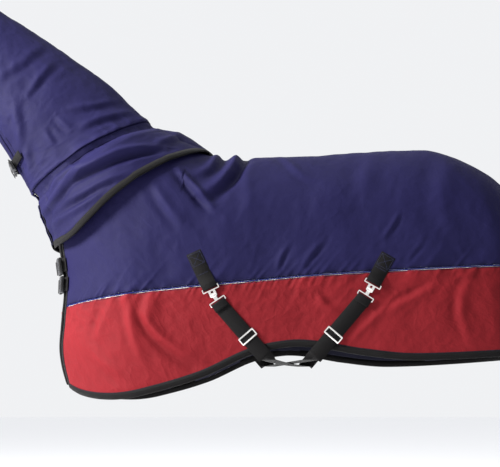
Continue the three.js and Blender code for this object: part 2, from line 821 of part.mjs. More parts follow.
// Round the chest, turns up to 90 degrees are on the off side and larger ones on the near side.
chestClosureDepths.forEach((depth, k) => {
  const place = chestPoint(chestClosureTurn, depth, buckleLift);
  const along = chestPoint(chestClosureTurn - 4, depth, buckleLift)
    .sub(chestPoint(chestClosureTurn + 4, depth, buckleLift)).setZ(0);
  const out = place.clone().sub(chestPoint(chestClosureTurn, depth, 0));
  const near = [10, 13].map((turn) => chestPoint(chestClosureTurn + turn, depth, clothLift));
  const off = [27, 35, 42, 49].map((turn) => chestPoint(chestClosureTurn - turn, depth, clothLift + 2));
  const middle = place.addScaledVector(along.clone().normalize(), -12);
  closure(rug, `chest_${['upper', 'lower'][k]}`, chestWebbing, middle, along, out, near, off);
});

// Under the throat, angles up to 180 degrees are on the off side and larger ones on the near side.
throatClosurePlaces.forEach((s, k) => {
  const at = (angle, lift) => onNeck(s, angle * DEG, lift);
  const place = at(throatClosureTurn, buckleLift);
  const along = at(throatClosureTurn - 7, buckleLift).sub(at(throatClosureTurn + 7, buckleLift));
  const out = place.clone().sub(at(throatClosureTurn, 0));
  const near = [29, 32].map((turn) => at(throatClosureTurn + turn, clothLift + 5));
  const off = [37, 48, 57, 65].map((turn) => at(throatClosureTurn - turn, clothLift + 5));
  const middle = place.addScaledVector(along.clone().normalize(), -12);
  closure(neckCover, `throat_${['lower', 'upper'][k]}`, throatWebbing, middle, along, out, near, off);
});

// ---------------------------------------------------------------- crossed surcingles

// Flat frame of the near side for the hooks: X runs down along the webbing, Z outwards.
const hook = {
  frame: surcingleWebbing + 8, // loops, across the webbing
  loop: 14, // loops, along the webbing
  bar: 4.5,
  plate: 2.6,
  tongue: 24,
  run: 36, // slotted plate's length
  lip: 5, // plate beyond its slot
  stem: 7,
  head: 19,
  blade: 12,
  reach: 20, // stud to the hook's loop
  clearance: 0.4,
  webbingRoom: 0.8,
};

function slottedPlate() {
  const { frame, loop, bar, plate: thick, tongue, stem, run, lip, clearance, webbingRoom } = hook;
  const half = surcingleWebbing / 2 + webbingRoom;
  const loopFrame = plate([0, -frame / 2], [loop, frame / 2], 3, -thick / 2, thick / 2);
  const blade = plate([loop - 4, -tongue / 2], [run, tongue / 2], 5, -thick / 2, thick / 2);
  const webbingSlot = block([bar, -half, -thick], [loop - bar + 1, half, thick]);
  const studSlot = block([run - lip - stem - hookTravel - 2, -stem / 2 - clearance, -thick],
    [run - lip, stem / 2 + clearance, thick]);
  return joined([loopFrame, blade], [webbingSlot, studSlot]);
}

// The hook's own X starts at its stud, which sits at the lower end of the plate's slot.
function studHook() {
  const { frame, loop, bar, plate: thick, stem, head, blade: width, reach, webbingRoom } = hook;
  const top = -thick / 2 - gap;
  const under = top - thick;
  const face = thick / 2 + gap;
  const half = surcingleWebbing / 2 + webbingRoom;
  const blade = plate([-5, -width / 2], [reach + 4, width / 2], 4, under, top);
  const loopFrame = plate([reach, -frame / 2], [reach + loop, frame / 2], 3, under, top);
  const webbingSlot = block([reach + bar - 1, -half, under - 1], [reach + loop - bar, half, top + 1]);
  const stud = plate([-stem / 2, -stem / 2], [stem / 2, stem / 2], stem / 2 - 0.1, under, face + 0.5);
  const cross = plate([-stem / 2, -head / 2], [stem / 2, head / 2], 2.5, face, face + thick);
  return joined([blade, loopFrame, stud, cross], [webbingSlot]);
}

// Three-bar slider, with its middle bar behind the webbing.
const sliderSize = { length: 27, rail: 4, room: 5, bar: 5, plate: 2.2, clearance: 0.5 };

function slider(width) {
  const { length, rail, room, bar, plate: thick, clearance } = sliderSize;
  const half = width / 2 + room;
  const clear = webbingThickness / 2 + clearance;
  const low = -clear - thick;
  const high = clear + thick;
  const rails = [
    block([-length / 2, -half, low], [length / 2, rail - half, high]),
    block([-length / 2, half - rail, low], [length / 2, half, high]),
  ];
  const ends = [
    block([-length / 2, -half, clear], [bar - length / 2, half, high]),
    block([length / 2 - bar, -half, clear], [length / 2, half, high]),
  ];
  const middle = block([-bar / 2, -half, low], [bar / 2, half, -clear]);
  return joined([...rails, ...ends, middle]);
}

// Place in the near side's flat at a given X and height, `lift` outside the outer cloth.
function sidePoint(side, x, z, lift) {
  const t = (x + noseStart) / (hipX + noseStart);
  return onForm(side, t, placeOfHeight(x, z), quilt + lift);
}

// Foot of each sewn patch, and the directions of the patch, the hook and the strap down the side.
const surcingles = [
  {
    name: 'front',
    x: 34,
    depth: 508,
    length: frontPatchLength,
    patchTurn: 65,
    hookTurn: 56,
    strapTurn: 49,
    sag: 4,
  },
  {
    name: 'rear',
    x: 568,
    depth: 492,
    length: rearPatchLength,
    patchTurn: 120,
    hookTurn: 123,
    strapTurn: 131,
    sag: 0,
  },
];

function downThe(turn) {
  return new THREE.Vector3(Math.cos(turn * DEG), 0, -Math.sin(turn * DEG));
}

const bellyDrop = 34;
const bellyDepth = hemDepth + bindingWidth + bellyDrop;
const bellyCrossing = 300;
const strapFold = hook.plate / 2 + gap + webbingThickness / 2; // from a bar's middle to the webbing's
const hookLift = strapFootLift + hook.plate + gap + strapFold + 1;

function surcinglePatch(length) {
  const turn = hook.bar + gap + webbingThickness / 2;
  const path = [[-length, strapFold], [turn, strapFold], [turn, -strapFold], [-foldedLeg, -strapFold]]
    .map(([a, c]) => new THREE.Vector3(a, 0, c));
  return webbing(path, path.map(() => new THREE.Vector3(0, 1, 0)), surcingleWebbing);
}

// Webbing from the hook's lower bar down the near side, under the belly and up the off side,
// where it is sewn. Returns the solid and the ends of its straight run on the near side.
function surcingleStrap(hookFrame, strapTurn, sag) {
  const bar = hook.reach + hook.loop - hook.bar / 2;
  const barZ = -hook.plate - gap;
  const fold = bar - hook.bar / 2 - gap - webbingThickness / 2;
  const at = (a, c) => hookFrame.localToWorld(new THREE.Vector3(a, 0, c));
  const across = (p) => new THREE.Vector3(2 * bellyCrossing - p.x, p.y, p.z);
  const along = downThe(strapTurn);
  const start = at(bar + 6, barZ - strapFold);
  const run = (bellyDepth + start.z) / -along.z;
  const onRun = (length) => start.clone().addScaledVector(along, length);
  const near = [0, 0.35, 0.7, 1].map((share) => {
    const p = onRun(share * (run - 14));
    return sidePoint(-1, p.x, p.z, lerp(strapFootLift, strapLift, Math.min(1, 2.5 * share)));
  });
  const off = [run - 14, 0.6 * run, 0.2 * run, -40, -110].map((length) => {
    const p = across(onRun(length));
    return sidePoint(1, p.x, p.z, sewnLift);
  });
  const from = onRun(run).setY(near[3].y);
  const to = across(from).setY(off[0].y);
  const belly = [0.025, 0.2, 0.5, 0.8, 0.975].map((share) =>
    from.clone().lerp(to, share).setZ(-bellyDepth - sag * Math.sin(share * Math.PI)));
  const folded = [
    at(bar + foldedLeg, barZ + strapFold),
    at(fold, barZ + strapFold),
    at(fold, barZ - strapFold),
  ];
  const facing = (direction, other) => (direction.dot(other) < 0 ? direction.negate() : direction);
  const nearAcross = new THREE.Vector3(along.z, 0, -along.x);
  const hookAcross = facing(new THREE.Vector3(0, 1, 0).applyQuaternion(hookFrame.quaternion), nearAcross);
  const crossing = to.clone().sub(from).setZ(0);
  const bellyAcross = facing(new THREE.Vector3(-crossing.y, crossing.x, 0).normalize(), nearAcross);
  const offAcross = facing(new THREE.Vector3(along.z, 0, along.x), bellyAcross);
  const widths = [
    ...folded.map(() => hookAcross),
    ...near.map(() => nearAcross),
    ...belly.map(() => bellyAcross),
    ...off.map(() => offAcross),
  ];
  const path = [...folded, ...near, ...belly, ...off];
  return { solid: webbing(path, widths, surcingleWebbing), near, along };
}

for (const { name, x, depth, length, patchTurn, hookTurn, strapTurn, sag } of surcingles) {
  const outward = new THREE.Vector3(0, -1, 0);
  const patchFrame = framed(rug, sidePoint(-1, x, -depth, hookLift), downThe(patchTurn), outward);
  addPart(patchFrame, `surcingle_${name}_patch`, 'black', surcinglePatch(length));
  addPart(patchFrame, `surcingle_${name}_plate`, 'nickel', slottedPlate());

  patchFrame.updateMatrixWorld(true);
  const studPlace = hook.run - hook.lip - hook.stem / 2 - hook.clearance;
  const stud = patchFrame.localToWorld(new THREE.Vector3(studPlace, 0, 0));
  const hookFrame = framed(rug, stud, downThe(hookTurn), outward);
  addPart(hookFrame, `surcingle_${name}_hook`, 'nickel', studHook());

  hookFrame.updateMatrixWorld(true);
  const { solid, near, along } = surcingleStrap(hookFrame, strapTurn, sag);
  addPart(rug, `surcingle_${name}_strap`, 'black', solid);
  const sliderFrame = framed(rug, near[1].clone().lerp(near[2], 0.8), along, outward);
  addPart(sliderFrame, `surcingle_${name}_slider`, 'nickel', slider(surcingleWebbing));
}

export default rug;
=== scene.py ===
import math

import bmesh
import bpy
import numpy as np
from mathutils import Matrix, Vector


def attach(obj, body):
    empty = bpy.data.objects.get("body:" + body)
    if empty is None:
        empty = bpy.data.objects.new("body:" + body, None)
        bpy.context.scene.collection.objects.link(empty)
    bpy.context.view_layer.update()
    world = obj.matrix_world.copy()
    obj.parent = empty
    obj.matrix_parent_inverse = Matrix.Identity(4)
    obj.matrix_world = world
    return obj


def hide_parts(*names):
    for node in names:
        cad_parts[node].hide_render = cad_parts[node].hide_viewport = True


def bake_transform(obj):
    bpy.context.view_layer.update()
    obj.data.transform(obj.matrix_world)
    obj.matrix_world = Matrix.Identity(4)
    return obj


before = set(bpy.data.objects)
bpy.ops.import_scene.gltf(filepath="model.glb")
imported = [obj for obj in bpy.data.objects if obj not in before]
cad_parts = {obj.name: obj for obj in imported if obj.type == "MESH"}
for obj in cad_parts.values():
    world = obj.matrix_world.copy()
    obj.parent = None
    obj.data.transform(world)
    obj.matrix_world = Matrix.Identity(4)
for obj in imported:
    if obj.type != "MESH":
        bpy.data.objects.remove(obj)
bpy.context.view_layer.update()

bl_info = {
    "name": "Turnout Rug",
    "version": (1, 0, 0),
    "blender": (4, 5, 0),
    "location": "3D View > Sidebar > Rug",
    "description": "Cloth, trim and fastenings of a turnout rug with a neck cover",
    "category": "Object",
}

# Sizes are in metres. X runs to the tail, the near side faces -Y and Z is up.
NEAR, OFF = -1, 1
SIDES = ((NEAR, "near"), (OFF, "off"))
QUARTER = math.pi / 2

# ---------------------------------------------------------------- sizes of the cut

BACK_LENGTH = 1.115
HIP_X = 0.95
HIP_ROUND = 0.187
HIP_TURN = math.radians(62)
NOSE_START = 0.15
CHEST_REACH = 0.49
NEAR_TURN = math.radians(67)
OFF_TURN = math.radians(96)
BODY_HALF_WIDTH = 0.285
SHOULDER_HALF_WIDTH = 0.268
SEAM_DEPTH = 0.475
HEM_DEPTH = 0.69
NECKLINE_X = -0.06
NECKLINE_DEPTH = 0.33
NECK_REACH = 0.79
NECK_RISE = 0.58
POLL_HALF_WIDTH = 0.092
NEAR_TURNS = (math.radians(161), math.radians(140))  # crest to throat edge, at the cape and the head
OFF_TURNS = (math.radians(184), math.radians(200))
CREST_GAP = math.radians(0.12)
SEAM_RUN = 0.27
TILT_ROOM = 0.035

GAP = 0.0003
LINING = 0.0012
WADDING = 0.008
OUTER = 0.0015
QUILT = LINING + GAP + WADDING + GAP + OUTER
CAPE_LINING = 0.0055
CAPE = CAPE_LINING + GAP + OUTER
CAPE_CLEARANCE = 0.010
BINDING_WIDTH = 0.018
PIPING_RADIUS = 0.0018
SEAM_ALLOWANCE = 0.0032
TAPE_WIDTH = 0.024

# ---------------------------------------------------------------- curves and noise


def lerp(a, b, t):
    return a + (b - a) * t


def smoothstep(low, high, value):
    t = np.clip((value - low) / (high - low), 0, 1)
    return t * t * (3 - 2 * t)


def curve(points):
    """Smooth curve through points of rising x, straight beyond its ends."""
    xs, ys = np.array(points, float).T
    last = len(xs) - 1
    before = np.maximum(np.arange(last + 1) - 1, 0)
    after = np.minimum(np.arange(last + 1) + 1, last)
    slopes = (ys[after] - ys[before]) / (xs[after] - xs[before])

    def value(x):
        x = np.asarray(x, float)
        i = np.searchsorted(xs[1:-1], x)
        h = xs[i + 1] - xs[i]
        t = (x - xs[i]) / h
        inside = np.clip(t, 0, 1)
        rise = inside**2 * (3 - 2 * inside)
        lead = inside * (1 - inside) ** 2 * h * slopes[i]
        trail = inside**2 * (inside - 1) * h * slopes[i + 1]
        middle = ys[i] + (ys[i + 1] - ys[i]) * rise + lead + trail
        low = slopes[i] * (x - xs[i]) * (t < 0)
        high = slopes[i + 1] * (x - xs[i + 1]) * (t > 1)
        return middle + low + high

    return value


def lattice_noise(u, v, seed):
    """Smooth noise from -1 to 1 with one lattice step per unit."""
    table = np.random.default_rng(seed).uniform(-1, 1, (64, 64))
    i, j = np.floor(u).astype(int), np.floor(v).astype(int)
    a, b = u - i, v - j
    a, b = a * a * (3 - 2 * a), b * b * (3 - 2 * b)
    corner = [[table[(i + m) % 64, (j + n) % 64] for n in (0, 1)] for m in (0, 1)]
    return lerp(lerp(corner[0][0], corner[0][1], b), lerp(corner[1][0], corner[1][1], b), a)


def layered_noise(u, v, seed, layers=3):
    total = np.zeros(np.shape(u))
    for k in range(layers):
        total = total + lattice_noise(u * 2**k + 7 * k, v * 2**k + 3 * k, seed + k) / 2**k
    return total


# ---------------------------------------------------------------- the rug's form

TOPLINE = curve([
    (-0.56, 0.4), (-0.2, 0.115), (NECKLINE_X, 0.032), (0.02, 0), (0.09, -0.012), (0.35, -0.004),
    (0.7 * BACK_LENGTH, 0.018), (0.77 * BACK_LENGTH, 0.006), (0.9 * BACK_LENGTH, -0.062),
    (BACK_LENGTH, -0.14),
])
ROUNDING = curve([(-0.2, 0.33), (0.15, 0.29), (0.5, 0.262), (0.9, 0.24), (BACK_LENGTH, 0.235)])
HALF_WIDTH = curve([
    (-NOSE_START, SHOULDER_HALF_WIDTH), (-0.02, BODY_HALF_WIDTH - 0.004), (0.25, BODY_HALF_WIDTH),
    (0.8, BODY_HALF_WIDTH - 0.003), (BACK_LENGTH, BODY_HALF_WIDTH - 0.022),
])
CHEST = curve([
    (-0.88, CHEST_REACH - 0.048), (-0.77, CHEST_REACH - 0.008), (-0.69, CHEST_REACH + 0.008),
    (-0.6, CHEST_REACH + 0.004), (-0.46, CHEST_REACH), (-0.4, CHEST_REACH + 0.01),
    (-0.34, CHEST_REACH + 0.022),
])
SEAM_HEIGHT = curve([
    (-CHEST_REACH, -SEAM_DEPTH - 0.078), (-0.195, -SEAM_DEPTH - 0.045), (0.1, -SEAM_DEPTH - 0.018),
    (0.4, -SEAM_DEPTH + 0.008), (BACK_LENGTH, -SEAM_DEPTH + 0.05),
])
HEM_HEIGHT = curve([
    (-CHEST_REACH - 0.025, -HEM_DEPTH - 0.085), (-CHEST_REACH + 0.015, -HEM_DEPTH - 0.116),
    (-CHEST_REACH + 0.076, -HEM_DEPTH - 0.147), (-0.3, -HEM_DEPTH - 0.16),
    (-0.19, -HEM_DEPTH - 0.148), (0, -HEM_DEPTH - 0.094), (0.165, -HEM_DEPTH - 0.02),
    (0.29, -HEM_DEPTH + 0.006), (0.386, -HEM_DEPTH + 0.003), (0.525, -HEM_DEPTH - 0.02),
    (0.7, -HEM_DEPTH - 0.036), (BACK_LENGTH, -HEM_DEPTH - 0.016),
])
NECKLINE_HEIGHT = curve([
    (-CHEST_REACH - 0.025, -NECKLINE_DEPTH), (-0.43, -NECKLINE_DEPTH + 0.092),
    (-0.3, -NECKLINE_DEPTH + 0.195), (-0.15, -NECKLINE_DEPTH + 0.305),
    (NECKLINE_X, float(TOPLINE(NECKLINE_X))),
])


def station(t, height):
    """X and how much of the half width is left. Negative t is radians round the chest,
    0 to 1 the straight side, and past 1 radians round the quarters."""
    front = -NOSE_START - (CHEST(height) - NOSE_START) * np.sin(-t)
    rear = HIP_X + HIP_ROUND * np.sin(t - 1)
    x = np.where(t < 0, front, np.where(t > 1, rear, lerp(-NOSE_START, HIP_X, t)))
    wrap = np.where(t < 0, np.cos(t), np.where(t > 1, np.cos(t - 1), 1.0))
    return x, wrap


def nominal_x(t):
    return station(t, -SEAM_DEPTH)[0]


def place_of_height(x, height):
    drop = np.maximum(0, TOPLINE(x) - height)
    rounded = ROUNDING(x)
    high = np.arccos(np.clip(1 - drop / rounded, -1, 1)) / QUARTER
    return np.where(drop < rounded, high, 1 + (drop - rounded) / (rounded * QUARTER))


def form_point(side, t, q):
    """Point of the inner face: q is 0 at the spine and 1 where the side is upright."""
    x0 = nominal_x(t)
    rounded = ROUNDING(x0)
    drop = np.where(q < 1, rounded * (1 - np.cos(q * QUARTER)), rounded + (q - 1) * rounded * QUARTER)
    z = TOPLINE(x0) - drop
    x, wrap = station(t, z)
    out = np.where(q < 1, np.sin(np.minimum(q, 1) * QUARTER), 1.0)
    return np.stack([x, side * (HALF_WIDTH(x0) * out * wrap + GAP / 2), z], -1)


def unit(vectors):
    return vectors / np.maximum(np.linalg.norm(vectors, axis=-1, keepdims=True), 1e-12)


def form_normal(side, t, q):
    step = 1e-3
    along_step = np.where((t < 0) | ((t > 0) & (t < 1)), step, -step)
    along_step = np.where(t == 0, step, along_step)
    down_step = np.where(q > 0.5, -step, step)
    here = form_point(side, t, q)
    along = (form_point(side, t + along_step, q) - here) / along_step[..., None]
    down = (form_point(side, t, q + down_step) - here) / down_step[..., None]
    return unit(np.cross(along, down) * side)


def girth_run(t):
    """Distance along the cloth from front to tail."""
    front = -NOSE_START + t * (CHEST_REACH - NOSE_START)
    return np.where(t < 0, front, np.where(t > 1, HIP_X + (t - 1) * HIP_ROUND, nominal_x(t)))


def spread_rows(low, high, count):
    return low[:, None] + (high - low)[:, None] * np.linspace(0, 1, count)[None, :]


def body_stations(side, spacing):
    turn = NEAR_TURN if side == NEAR else OFF_TURN
    chest = np.linspace(-turn, 0, int((CHEST_REACH - NOSE_START) * turn / spacing))
    straight = np.linspace(0, 1, int((HIP_X + NOSE_START) / spacing))
    quarters = np.linspace(1, 1 + HIP_TURN, int(HIP_ROUND * HIP_TURN * 1.3 / spacing))
    neckline = (NECKLINE_X + NOSE_START) / (HIP_X + NOSE_START)
    both = np.concatenate([chest[:-1], straight, quarters[1:], [neckline]])
    return np.unique(both)


def body_edges(t):
    x = nominal_x(t)
    allowance = SEAM_ALLOWANCE / (ROUNDING(x) * QUARTER)
    seam = place_of_height(x, SEAM_HEIGHT(x))
    top = np.where(x < NECKLINE_X - 1e-6, place_of_height(x, NECKLINE_HEIGHT(x)), 0.0)
    return top, seam - allowance, seam, seam + allowance, place_of_height(x, HEM_HEIGHT(x))


# ---------------------------------------------------------------- the neck cover's form

CREST_X = curve([(0, 0.012), (0.14, -0.085), (SEAM_RUN, -0.188), (0.55, -0.4), (1, -NECK_REACH)])
CREST_Z = curve([(0, 0.025), (0.14, 0.092), (SEAM_RUN, 0.116), (0.55, 0.306), (1, NECK_RISE)])
THROAT_X = curve([
    (0, -CHEST_REACH - 0.06), (0.14, -0.585), (SEAM_RUN, -0.614), (0.55, -0.696),
    (1, -NECK_REACH - 0.115),
])
THROAT_Z = curve([
    (0, -NECKLINE_DEPTH + 0.012), (0.14, -0.238), (SEAM_RUN, -0.146), (0.55, -0.014),
    (1, NECK_RISE - 0.262),
])
NECK_HALF_WIDTH = curve([
    (0, 0.205), (0.14, 0.178), (SEAM_RUN, 0.15), (0.55, 0.116), (1, POLL_HALF_WIDTH),
])
CORNER_DROP = curve([(0, 0.044), (0.14, 0.022), (SEAM_RUN, 0), (1, 0)])


def form_half_width(x, z):
    q = place_of_height(x, z)
    out = np.where(q < 1, np.sin(np.minimum(q, 1) * QUARTER), 1.0)
    turn = np.maximum(0, -NOSE_START - x) / (CHEST(z) - NOSE_START)
    left = np.sqrt(np.maximum(0, 1 - turn * turn))
    return HALF_WIDTH(np.maximum(x, -NOSE_START)) * out * left


def neck_point(s, angle):
    """Point of the neck cover's inner face: angle is 0 at the crest, negative on the near side."""
    share = (1 - np.cos(angle)) / 2
    drop = CORNER_DROP(s) * np.sin(math.pi * np.minimum(1, share) ** 4)
    x = lerp(CREST_X(s), THROAT_X(s), share) + drop * 0.55
    z = lerp(CREST_Z(s), THROAT_Z(s), share) - drop * 0.83
    own = NECK_HALF_WIDTH(s) * np.abs(np.sin(angle))
    lift = QUILT + CAPE_CLEARANCE
    covered = np.maximum(0, SEAM_RUN - s) / SEAM_RUN
    beneath = form_half_width(x + lift, z - lift)
    wide = np.where(beneath > 0, beneath + lift, 0)
    most = np.maximum(own, lerp(own, wide, np.minimum(1, 3 * covered)))
    return np.stack([x, np.sign(np.sin(angle)) * np.where(covered > 0, most, own), z], -1)


def neck_angle(share, s):
    """Angle at a share of the way to the throat edge: -1 near, 0 at the crest, 1 off."""
    run = np.maximum(0, s - SEAM_RUN) / (1 - SEAM_RUN)
    turn = np.where(share < 0, lerp(*NEAR_TURNS, run), lerp(*OFF_TURNS, run))
    return np.where(share < 0, -1, 1) * lerp(CREST_GAP, turn, np.abs(share))


def neck_normal(s, angle):
    step = 1e-3
    along_step = np.where(s > 0.5, -step, step)
    here = neck_point(s, angle)
    along = (neck_point(s + along_step, angle) - here) / along_step[..., None]
    around = neck_point(s, angle + step) - neck_point(s, angle - step)
    return unit(np.cross(around, along))


# ---------------------------------------------------------------- folds and puckers


def fold_profile(a, b, path):
    """Signed distance to a path and the share of its length, for places a, b."""
    path = np.array(path, float)
    lengths = np.linalg.norm(np.diff(path, axis=0), axis=1)
    walked = np.concatenate([[0], np.cumsum(lengths)])
    best = np.full(np.shape(a), 1e9)
    sign, share = np.ones(np.shape(a)), np.zeros(np.shape(a))
    for k, length in enumerate(lengths):
        da, db = (path[k + 1] - path[k]) / length
        ra, rb = a - path[k, 0], b - path[k, 1]
        run = np.clip(ra * da + rb * db, 0, length)
        away = np.hypot(ra - run * da, rb - run * db)
        nearer = away < best
        best = np.where(nearer, away, best)
        sign = np.where(nearer, np.sign(da * rb - db * ra), sign)
        share = np.where(nearer, (walked[k] + run) / walked[-1], share)
    return sign * best, share


def rounded_path(points):
    """The points again with two more between each pair, on a smooth line."""
    points = np.array(points, float)
    if len(points) < 3:
        return points
    at = np.arange(len(points))
    fine = np.linspace(0, len(points) - 1, 3 * (len(points) - 1) + 1)
    return np.stack([curve(list(zip(at, points[:, k])))(fine) for k in (0, 1)], -1)


FOLD_STRENGTH = 1.5
PUCKER_STRENGTH = 1.7
PUCKERS_ABOVE, PUCKERS_BELOW = 34, 52  # to a metre along the seam of the two panels
PUCKER_REACH_ABOVE, PUCKER_REACH_BELOW = 0.034, 0.022
PUCKER_LEAN_ABOVE, PUCKER_LEAN_BELOW = 0.9, -0.5
SEAM_SINK, SEAM_SINK_REACH = 0.0026, 0.007
HEM_PUCKERS, HEM_PUCKER_REACH = 60, 0.014
OFF_FOLD_SHIFT, OFF_FOLD_DEPTH = 0.13, 0.97  # the off side's folds against the near side's
WITHER_FOLDS = 3  # the first of BODY_FOLDS, left out of the off side's own
CHEST_STRAPS_FROM, CHEST_STRAPS_WHOLE = math.radians(28), math.radians(48)  # where they press the cloth flat
CHEST_STRAPS_FOOT, CHEST_STRAPS_TOP = -0.56, -0.52


def folds_at(a, b, folds):
    """Height of all the folds. Each is (height, width, lean, points): lean sinks the cloth on
    the path's left and, when negative, on its right."""
    total = np.zeros(np.shape(a))
    for height, width, lean, points in folds:
        away, share = fold_profile(a, b, rounded_path(points))
        ends = np.sin(math.pi * np.clip(share, 0.02, 0.98)) ** 0.6
        ridge = np.exp(-((away / width) ** 2))
        valley = abs(lean) * np.exp(-(((away - math.copysign(1.45, lean) * width) / (0.95 * width)) ** 2))
        total = total + FOLD_STRENGTH * height * ends * (ridge - valley)
    return total


# Places in side view, X and Z.
BODY_FOLDS = (
    (0.013, 0.020, -1.0, [(0.12, 0.00), (0.11, -0.07), (0.06, -0.15), (0.00, -0.19)]),
    (0.009, 0.018, -0.6, [(0.05, 0.03), (0.04, -0.04), (0.02, -0.09), (-0.03, -0.12)]),
    (0.010, 0.017, 0.7, [(-0.10, -0.09), (-0.04, -0.15), (0.05, -0.25)]),
    (0.006, 0.022, 0.6, [(-0.16, -0.15), (-0.12, -0.22), (-0.05, -0.30)]),
    (0.004, 0.026, 0.4, [(0.14, -0.05), (0.16, -0.18), (0.15, -0.27)]),
    (0.003, 0.016, 0.7, [(0.27, -0.02), (0.33, -0.11), (0.41, -0.15)]),
    (0.003, 0.030, 0.5, [(0.60, -0.03), (0.55, -0.16), (0.57, -0.27)]),
    (0.004, 0.035, 0.4, [(0.86, -0.06), (0.80, -0.20), (0.84, -0.34)]),
    (0.003, 0.009, 0.9, [(0.60, -0.35), (0.63, -0.31), (0.66, -0.26)]),
    (0.003, 0.009, 0.8, [(0.25, -0.45), (0.27, -0.40), (0.29, -0.37)]),
    (0.003, 0.010, 0.8, [(0.33, -0.44), (0.37, -0.39), (0.41, -0.35)]),
    (0.003, 0.009, 0.8, [(0.67, -0.43), (0.70, -0.39), (0.73, -0.36)]),
    (0.007, 0.020, 0.9, [(-0.14, -0.53), (-0.17, -0.59), (-0.15, -0.64), (-0.08, -0.70), (0.01, -0.74)]),
    (0.004, 0.018, 0.7, [(-0.29, -0.55), (-0.32, -0.62), (-0.34, -0.69)]),
    (0.004, 0.020, 0.6, [(-0.37, -0.68), (-0.32, -0.74), (-0.24, -0.79)]),
    (0.004, 0.015, -0.8, [(0.38, -0.52), (0.41, -0.57), (0.47, -0.59)]),
    (0.004, 0.013, 0.8, [(0.64, -0.53), (0.56, -0.61), (0.49, -0.68)]),
    (0.004, 0.014, 0.8, [(0.78, -0.50), (0.68, -0.55), (0.60, -0.59)]),
    (0.004, 0.018, 0.6, [(0.88, -0.47), (0.85, -0.58), (0.87, -0.68)]),
    (0.004, 0.020, 0.6, [(-0.23, -0.52), (-0.22, -0.63), (-0.18, -0.75)]),
)
NECK_FOLDS = (
    (0.010, 0.020, -0.9, [(-0.53, -0.11), (-0.44, -0.02), (-0.36, 0.02), (-0.27, 0.05), (-0.18, 0.10)]),
    (0.006, 0.018, 0.5, [(-0.69, 0.20), (-0.67, 0.11), (-0.64, 0.00), (-0.60, -0.11)]),
    (0.004, 0.016, 0.7, [(-0.56, 0.36), (-0.61, 0.27), (-0.65, 0.20)]),
    (0.004, 0.012, 0.7, [(-0.57, 0.08), (-0.55, 0.05), (-0.53, 0.02)]),
    (0.004, 0.013, -0.7, [(-0.53, 0.13), (-0.50, 0.10), (-0.47, 0.08)]),
    (0.005, 0.016, 0.7, [(-0.28, 0.16), (-0.38, 0.12), (-0.45, 0.08)]),
    (0.004, 0.014, 0.7, [(-0.34, 0.20), (-0.42, 0.17), (-0.50, 0.16)]),
    (0.004, 0.020, 0.6, [(-0.62, 0.42), (-0.68, 0.34), (-0.76, 0.29)]),
)
CAPE_FOLDS = (
    (0.013, 0.016, -0.9, [(-0.58, -0.21), (-0.51, -0.17), (-0.46, -0.12), (-0.35, -0.08),
                          (-0.25, -0.04), (-0.13, -0.02)]),
    (0.009, 0.012, -0.8, [(-0.53, -0.15), (-0.48, -0.10), (-0.44, -0.07)]),
    (0.006, 0.013, -0.7, [(-0.48, -0.20), (-0.40, -0.18), (-0.30, -0.14), (-0.20, -0.12)]),
    (0.006, 0.014, 0.6, [(-0.56, -0.26), (-0.48, -0.25), (-0.39, -0.22), (-0.31, -0.17)]),
    (0.006, 0.013, -0.6, [(-0.54, -0.33), (-0.49, -0.32), (-0.43, -0.29), (-0.37, -0.25)]),
    (0.004, 0.012, 0.6, [(-0.25, -0.09), (-0.17, -0.06), (-0.10, -0.05)]),
    (0.005, 0.016, 0.6, [(-0.10, 0.08), (-0.12, 0.03), (-0.17, -0.01)]),
)
# Lines that straps and fastenings lie on, where the cloth is kept flat.
QUIET_LINES = (
    ((-0.03, -0.36), (0.04, -0.53), (0.25, -0.76)),
    ((0.66, -0.37), (0.56, -0.53), (0.34, -0.76)),
)
CAPE_REAR = ((0.03, 0.06), (-0.05, -0.06), (-0.2, -0.13), (-0.38, -0.27), (-0.5, -0.37), (-0.6, -0.42))


def ridged(values):
    """Noise turned into narrow creases, from 0 to 1."""
    return 1 - np.abs(values)


